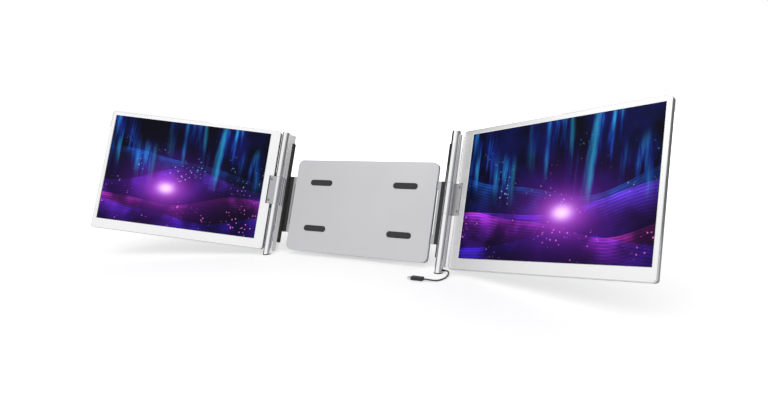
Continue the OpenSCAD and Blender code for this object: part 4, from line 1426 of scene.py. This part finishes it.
@dataclass
class Keys:
    """The three keys in the back of a display, each with its raised mark."""

    side: Side
    layout: Layout
    finishes: Finishes
    inset: float = 46 * MM
    height: float = 26 * MM
    pitch: float = 16 * MM
    half_w: float = 5 * MM
    half_h: float = 2.3 * MM
    corner_r: float = 2.1 * MM
    wall: float = 1.4 * MM
    stand: float = 0.9 * MM
    dome: float = 0.25 * MM
    dome_shares: tuple[float, ...] = (0.97, 0.9, 0.75, 0.5, 0.25)
    dome_power: int = 6
    flange: float = 0.8 * MM
    flange_t: float = 0.4 * MM
    flange_corner_r: float = 0.3 * MM
    nub_r: float = 1 * MM
    nub_l: float = 0.2 * MM
    mark_half_l: float = 1.1 * MM
    mark_half_w: float = 0.17 * MM
    mark_t: float = 0.08 * MM
    mark_sink: float = 0.02 * MM
    ring_gap: float = math.radians(38)
    ring_steps: int = 40
    bar_round: float = 0.98
    bar_steps: int = 4
    stem_share: float = 0.45
    stem_lift: float = 0.9
    smooth: float = 50.0

    def build(self) -> None:
        """Makes every key and its mark."""
        for key in Key:
            body = f"{self.side.word}_{key.word}_button"
            name = f"{key.word}_key_{self.side.word}"
            cap = make_mesh(name, *self._cap(key), self.finishes.key, self.smooth)
            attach(cap, body)
            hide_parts(f"{key.word}_button_{self.side.word}")
            name = f"{key.word}_mark_{self.side.word}"
            mark = make_mesh(name, *self._mark(key), self.finishes.mark, self.smooth)
            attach(mark, body)
            LOG.info("%s and %s", cap.name, mark.name)

    def _place(self, key: Key, u: np.ndarray, v: np.ndarray, height: np.ndarray) -> np.ndarray:
        """Points of the display from places on a key: along, up and outwards from the cover.

        Args:
            key: which key.
            u: places along the key.
            v: places up the key.
            height: heights over the cover.

        Returns:
            The points in the frame of the solids.
        """
        lay = self.layout
        out = lay.panel_w - self.inset + key.value * self.pitch + u
        return lay.on_panel(self.side, out, -(lay.thickness + height), self.height + v)

    def _cap(self, key: Key) -> tuple[np.ndarray, Faces]:
        """A key as rings: nub, flange, wall, and a dome that falls with a high power.

        Args:
            key: which key.

        Returns:
            The key's points and faces.
        """
        under = -self.wall - self.flange_t
        wide, tall = self.half_w + self.flange, self.half_h + self.flange
        rows = [
            (self.nub_r, self.nub_r, self.nub_r, under - self.nub_l),
            (self.nub_r, self.nub_r, self.nub_r, under),
            (wide, tall, self.flange_corner_r, under),
            (wide, tall, self.flange_corner_r, -self.wall),
            (self.half_w, self.half_h, self.corner_r, -self.wall),
            (self.half_w, self.half_h, self.corner_r, self.stand - self.dome),
        ]
        for share in self.dome_shares:
            rise = self.stand - self.dome * share**self.dome_power
            rows.append((self.half_w * share, self.half_h * share, self.corner_r * share, rise))
        outlines = np.stack([oblong(w, h, r) for w, h, r, _ in rows])
        heights = np.array([row[3] for row in rows])[:, None] + 0 * outlines[:, :, 0]
        return closed(self._place(key, outlines[:, :, 0], outlines[:, :, 1], heights))

    def _bar(self, key: Key, half_u: float, half_v: float, lift: float = 0.0) -> tuple[np.ndarray, Faces]:
        """A low bar with round ends, on top of a key.

        Args:
            key: which key.
            half_u: half the bar's size along the key.
            half_v: half its size up the key.
            lift: how far its middle lies above the key's.

        Returns:
            The bar's points and faces.
        """
        radius = min(half_u, half_v) * self.bar_round
        outline = oblong(half_u, half_v, radius, self.bar_steps)[None] + np.array([0.0, lift])
        heights = self.stand + np.array([-self.mark_sink, self.mark_t])[:, None] + 0 * outline[:, :, 0]
        u, v = (np.broadcast_to(outline[:, :, i], heights.shape) for i in (0, 1))
        return closed(self._place(key, u, v, heights))

    def _arc(self, key: Key) -> tuple[np.ndarray, Faces]:
        """An open ring: a flat section carried round all but a gap at the top.

        Args:
            key: which key.

        Returns:
            The ring's points and faces.
        """
        start = math.pi / 2 + self.ring_gap
        w = np.linspace(start, math.pi * 3 - start, self.ring_steps)
        radius = self.mark_half_l + self.mark_half_w * np.array([1, 1, -1, -1])
        height = self.stand + np.array([-self.mark_sink, self.mark_t, self.mark_t, -self.mark_sink])
        u = radius[None, :] * np.cos(w)[:, None]
        v = radius[None, :] * np.sin(w)[:, None]
        return closed(self._place(key, u, v, np.broadcast_to(height, u.shape)))

    def _mark(self, key: Key) -> tuple[np.ndarray, Faces]:
        """A bar, a cross of bars, or an open ring with a bar in its gap.

        Args:
            key: which key.

        Returns:
            The mark's points and faces.
        """
        long, thin = self.mark_half_l, self.mark_half_w
        if key is Key.MINUS:
            return self._bar(key, long, thin)
        if key is Key.PLUS:
            arm = (long - thin) / 2
            stubs = [self._bar(key, thin, arm, sign * (thin + arm)) for sign in (-1, 1)]
            return together([self._bar(key, long, thin), *stubs])
        stem = self._bar(key, thin, long * self.stem_share, long * self.stem_lift)
        return together([self._arc(key), stem])


@dataclass
class Display:
    """One display: bezel, cover, lit picture, the bright lip round it and its hinge leaf."""

    side: Side
    layout: Layout
    finishes: Finishes
    leaf_h: float = 58 * MM
    leaf_screw_out: float = 3.75 * MM
    leaf_screw_inset: float = 7 * MM
    leaf_seat: float = 1.2 * MM
    screw: Screw = Screw(4.4 * MM, 1.0 * MM, 2.5 * MM, 5.0 * MM)
    lip_widths: tuple[float, ...] = (0.0, 0.15, 0.45, 0.95, 1.1, 1.1, 0.0)
    lip_depths: tuple[float, ...] = (0.02, 0.10, 0.06, -0.50, -0.62, -0.68, -0.68)
    lip_corner_r: float = 1.2 * MM
    lip_least_r: float = 0.3 * MM

    def build(self, frame: dict) -> None:
        """Dresses the solids and adds the lip, the screws and the keys.

        Args:
            frame: the loaded solids.
        """
        word, has = self.side.word, self.finishes
        for stem, finish in (
            ("bezel", has.bezels[self.side]), ("back_cover", has.shell),
            ("display", has.pictures[self.side]), ("driver_board", has.board),
            ("speakers", has.speaker), ("power_socket", has.socket),
            ("hinge_leaf", has.leaves[self.side]),
        ):
            wear(frame, finish, f"{stem}_{word}")
        lip = self._lip()
        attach(lip, f"{word}_panel")
        screws = make_mesh(f"leaf_hex_screws_{word}", *self._screws(), has.leaf_screw, smooth=30)
        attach(screws, f"{word}_panel")
        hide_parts(f"leaf_screws_{word}")
        Keys(self.side, self.layout, has).build()
        LOG.info("display %s dressed, with %s and %s", word, lip.name, screws.name)

    def _screws(self) -> tuple[np.ndarray, Faces]:
        """The two screws of the hinge leaf.

        Returns:
            Their points and faces.
        """

        def place(out: np.ndarray, up: np.ndarray, height: np.ndarray) -> np.ndarray:
            """Height counts forwards from the seat in the leaf."""
            return self.layout.on_panel(self.side, out, height - self.leaf_seat, up)

        low = (self.layout.panel_h - self.leaf_h) / 2
        heights = (low + self.leaf_screw_inset, low + self.leaf_h - self.leaf_screw_inset)
        return self.screw.group(place, [(self.leaf_screw_out, up) for up in heights])

    def _lip(self) -> bpy.types.Object:
        """A chamfer carried round the window.

        The outline is an oblong; each point of the profile is the same outline moved inwards by
        its width, at its own depth.

        Returns:
            The lip.
        """
        lay = self.layout
        half_w, half_h = lay.picture_w / 2, lay.picture_h / 2
        width, depth = np.array(self.lip_widths) * MM, np.array(self.lip_depths) * MM
        radii = np.maximum(self.lip_corner_r - width, self.lip_least_r)
        outlines = np.stack([oblong(half_w - w, half_h - w, r) for w, r in zip(width, radii)])
        out = lay.bezel_in + half_w + outlines[:, :, 0]
        up = lay.bezel_bottom + half_h + outlines[:, :, 1]
        points = lay.on_panel(self.side, out, np.broadcast_to(depth[:, None], out.shape), up)
        faces = grid_faces(points.shape[0], points.shape[1], True)
        return make_mesh(f"window_lip_{self.side.word}", points, faces, self.finishes.lip, smooth=25)


@dataclass
class Column:
    """One hinge column with its caps, sole, grip strip and arm."""

    side: Side
    layout: Layout
    finishes: Finishes
    screw: Screw = Screw(5.0 * MM, 1.2 * MM, 2.6 * MM, 3.0 * MM)
    screw_out: float = 186.25 * MM
    screw_back: float = 5.4 * MM
    screw_low: float = 58 * MM
    screw_pitch: float = 30 * MM
    screw_count: int = 4

    def build(self, frame: dict) -> None:
        """Dresses the column's solids and makes its screws.

        Args:
            frame: the loaded solids.
        """
        word, has = self.side.word, self.finishes
        for stem, finish in (
            ("column", has.column), ("column_top_cap", has.cap), ("column_foot", has.cap),
            ("column_sole", has.rubber), ("grip_liner", has.rubber), ("hinge_pin", has.pin),
            ("arm", has.arm), ("arm_spring", has.spring),
        ):
            wear(frame, finish, f"{stem}_{word}")
        screws = make_mesh(f"arm_hex_screws_{word}", *self._screws(), has.screw, smooth=30)
        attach(screws, f"{word}_arm")
        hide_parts(f"arm_screws_{word}")
        LOG.info("column %s dressed, with %s", word, screws.name)

    def _screws(self) -> tuple[np.ndarray, Faces]:
        """The row of screws through the arm's plate.

        Returns:
            Their points and faces.
        """

        def place(out: np.ndarray, up: np.ndarray, height: np.ndarray) -> np.ndarray:
            """Height counts backwards from the plate."""
            return self.layout.on_frame(self.side, out, self.screw_back + height, up)

        heights = [self.screw_low + i * self.screw_pitch for i in range(self.screw_count)]
        return self.screw.group(place, [(self.screw_out, up) for up in heights])


@dataclass
class BackFrame:
    """The frame behind the lid, with its kickstand."""

    layout: Layout
    finishes: Finishes
    screw: Screw = Screw(5.0 * MM, 1.2 * MM, 2.6 * MM, 9.1 * MM)
    screw_back: float = 10.6 * MM
    corner_out: float = 149 * MM
    middle_out: float = 72 * MM
    screw_low: float = 19 * MM
    screw_high: float = 187 * MM

    def build(self, frame: dict) -> None:
        """Dresses the frame's and the kickstand's solids and makes the cover's screws.

        Args:
            frame: the loaded solids.
        """
        has = self.finishes
        wear(frame, has.front, "frame_front_plate")
        wear(frame, has.rear, "frame_rear_cover")
        wear(frame, has.rubber, "lid_pads", "kickstand_foot")
        wear(frame, has.nylon, "arm_guide_rails")
        wear(frame, has.board, "hub_board")
        wear(frame, has.arm, "spring_post", "kickstand_brackets", "frame_standoffs")
        wear(frame, has.pin, "kickstand_pin")
        wear(frame, has.stand, "kickstand")
        screws = make_mesh("frame_hex_screws", *self._screws(), has.screw, smooth=30)
        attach(screws, "frame")
        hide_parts("frame_screws")
        LOG.info("back frame dressed, with %s", screws.name)

    def _screws(self) -> tuple[np.ndarray, Faces]:
        """Four screws at the corners and two along the top.

        Returns:
            Their points and faces.
        """

        def place(out: np.ndarray, up: np.ndarray, height: np.ndarray) -> np.ndarray:
            """Height counts backwards from the seat in the cover."""
            return self.layout.on_frame(Side.RIGHT, out, self.screw_back + height, up)

        outs, ups = (-self.corner_out, self.corner_out), (self.screw_low, self.screw_high)
        spots = [(out, up) for out in outs for up in ups]
        spots += [(out, self.screw_high) for out in (-self.middle_out, self.middle_out)]
        return self.screw.group(place, spots)


# ---------------------------------------------------------------------------
# Studio
# ---------------------------------------------------------------------------


@dataclass(frozen=True)
class Lamp:
    """A soft box that points at a spot."""

    name: str
    place: Point
    size: tuple[float, float]
    power: float
    aim: Point = (0.0, 0.0, 0.1)


@dataclass(frozen=True)
class Tent:
    """A paper wall round the set that only gloss shows, as round polished metal in a studio.

    Its stops give its level of grey at azimuths in degrees. It fades to white at its top.
    """

    stops: tuple[tuple[float, float], ...]
    reach: float = 1.25
    height: float = 1.3
    step: float = 3.0
    rows: int = 14
    fade_from: float = 0.7

    def build(self) -> None:
        """Makes the wall, with its level kept at each point."""
        azimuths = np.arange(-180.0, 180.0 + self.step, self.step)
        places, levels = np.array(self.stops).T
        level = np.interp(azimuths, places, levels)
        share = np.linspace(0.0, 1.0, self.rows)
        fade = ((share - self.fade_from) / (1 - self.fade_from)).clip(0, 1)
        fade = fade * fade * (3 - 2 * fade)
        around = np.array([direction(azimuth, 0.0) for azimuth in azimuths]) * self.reach
        points = around[None] + share[:, None, None] * np.array([0.0, 0.0, self.height])
        grey = level[None, :] + (1 - level[None, :]) * fade[:, None]
        count = len(azimuths)
        faces = [
            [row * count + i, row * count + i + 1, (row + 1) * count + i + 1, (row + 1) * count + i]
            for row in range(self.rows - 1)
            for i in range(count - 1)
        ]
        mesh = bpy.data.meshes.new("tent")
        mesh.from_pydata(points.reshape(-1, 3).tolist(), [], faces)
        mesh.attributes.new("level", "FLOAT", "POINT").data.foreach_set("value", grey.reshape(-1))
        surface = Surface("tent")
        paper = surface.add("ShaderNodeAttribute", {}, "Fac", attribute_name="level")
        surface.set(
            Base_Color=(0.0, 0.0, 0.0),
            Roughness=1.0,
            Specular_IOR_Level=0.0,
            Emission_Color=surface.tint((1.0, 1.0, 1.0), paper),
            Emission_Strength=1.0,
        )
        mesh.materials.append(surface.material)
        wall = put("tent", mesh)
        wall.visible_camera = wall.visible_diffuse = wall.visible_shadow = False
        wall.visible_transmission = wall.visible_volume_scatter = False


@dataclass
class Studio:
    """Floor, world, lamps, tent and camera."""

    focal_px: float = 534.541
    azimuth: float = 25.138
    elevation: float = 14.616
    roll: float = -1.723
    distance: float = 0.955341
    look: Point = (0.155381, 0.0, 0.043728)
    centre_px: tuple[float, float] = (422.722, 246.592)
    image_px: tuple[int, int] = (768, 411)
    sensor: float = 36.0
    ambient: float = 0.72
    floor_reach: float = 14.0
    floor_lift: float = 0.30
    floor_near: float = 0.5
    floor_far: float = 1.6
    lamps: tuple[Lamp, ...] = (
        Lamp("key", (-0.9, -1.1, 1.5), (1.1, 1.1), 3.2),
        Lamp("fill", (1.3, -1.0, 0.9), (0.9, 0.9), 1.4),
        Lamp("back", (0.2, 1.5, 1.1), (1.2, 0.8), 2.5),
    )
    tent: Tent = Tent((
        (-180, 0.50), (-160, 0.16), (-145, 0.02), (-95, 0.02), (-80, 0.02), (-70, 0.12), (-60, 0.80),
        (-48, 1.0), (24, 1.0), (36, 0.62), (48, 0.34), (80, 0.30), (98, 0.10), (112, 0.12),
        (130, 0.50), (160, 0.62), (180, 0.50),
    ))

    def build(self) -> None:
        """Builds all of it, with the camera first."""
        self._camera()
        self._world()
        self._floor()
        for lamp in self.lamps:
            self._lamp(lamp)
        self.tent.build()
        bpy.context.scene.view_settings.view_transform = "Standard"
        LOG.info("studio with %d lamps and a tent", len(self.lamps))

    def _camera(self) -> None:
        """Camera from a view direction, a roll and a principal point in pixels."""
        roll = math.radians(self.roll)
        back = direction(self.azimuth, self.elevation)
        right = np.cross([0.0, 0.0, 1.0], back)
        right /= np.linalg.norm(right)
        up = np.cross(back, right)
        matrix = np.eye(4)
        matrix[:3, 0] = math.cos(roll) * right + math.sin(roll) * up
        matrix[:3, 1] = math.cos(roll) * up - math.sin(roll) * right
        matrix[:3, 2] = back
        matrix[:3, 3] = np.array(self.look) + back * self.distance
        width, height = self.image_px
        camera = bpy.data.cameras.new("camera")
        camera.sensor_width = self.sensor
        camera.lens = self.focal_px * self.sensor / width
        camera.shift_x = (width / 2 - self.centre_px[0]) / width
        camera.shift_y = (self.centre_px[1] - height / 2) / width
        holder = put("camera", camera)
        holder.matrix_world = Matrix(matrix.tolist())
        bpy.context.scene.camera = holder

    def _world(self) -> None:
        """White to the eye and in gloss, a plain level of light otherwise."""
        world = bpy.data.worlds.new("studio")
        bpy.context.scene.world = world
        world.use_nodes = True
        graph = Graph(world.node_tree, "Generated")
        seen = graph.ray("Camera", "Glossy", "Transmission")
        level = self.ambient + (1.0 - self.ambient) * seen
        light = graph.add("ShaderNodeBackground", {"Color": (1.0, 1.0, 1.0), "Strength": level})
        graph.node("ShaderNodeOutputWorld", {"Surface": light})

    def _floor(self) -> None:
        """A wide pale floor that the eye sees as white and that keeps the object's shadow."""
        reach = self.floor_reach
        corners = [(-reach, -reach, 0.0), (reach, -reach, 0.0), (reach, reach, 0.0), (-reach, reach, 0.0)]
        mesh = bpy.data.meshes.new("floor")
        mesh.from_pydata(corners, [], [[0, 1, 2, 3]])
        surface = Surface("floor")
        far = surface.vector("LENGTH", surface.place)
        lift = self.floor_lift + (1.0 - self.floor_lift) * far.step(self.floor_near, self.floor_far)
        seen = surface.ray("Camera", "Glossy", "Transmission")
        surface.set(
            Base_Color=(0.97, 0.97, 0.97),
            Roughness=0.6,
            Specular_IOR_Level=0.1,
            Emission_Color=surface.tint((1.0, 1.0, 1.0), lift * seen),
            Emission_Strength=1.0,
        )
        mesh.materials.append(surface.material)
        floor = put("floor", mesh)

    @staticmethod
    def _lamp(lamp: Lamp) -> None:
        """One rectangular soft box, turned to face its aim.

        Args:
            lamp: its name, place, size, power and aim.
        """
        light = bpy.data.lights.new(lamp.name, "AREA")
        light.shape = "RECTANGLE"
        light.size, light.size_y = lamp.size
        light.energy = lamp.power
        holder = put(lamp.name, light)
        holder.location = lamp.place
        aim = Vector(lamp.aim) - Vector(lamp.place)
        holder.rotation_euler = aim.to_track_quat("-Z", "Y").to_euler()


def main() -> None:
    """Loads the solids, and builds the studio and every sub-assembly."""
    logging.basicConfig(level=logging.INFO, format="%(name)s: %(message)s")
    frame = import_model()
    Studio().build()
    layout = Layout().standing()
    finishes = Finishes(layout)
    Lead(layout, finishes).build(frame)
    for side in Side:
        Display(side, layout, finishes).build(frame)
        Column(side, layout, finishes).build(frame)
    BackFrame(layout, finishes).build(frame)


if __name__ == "__main__":
    main()
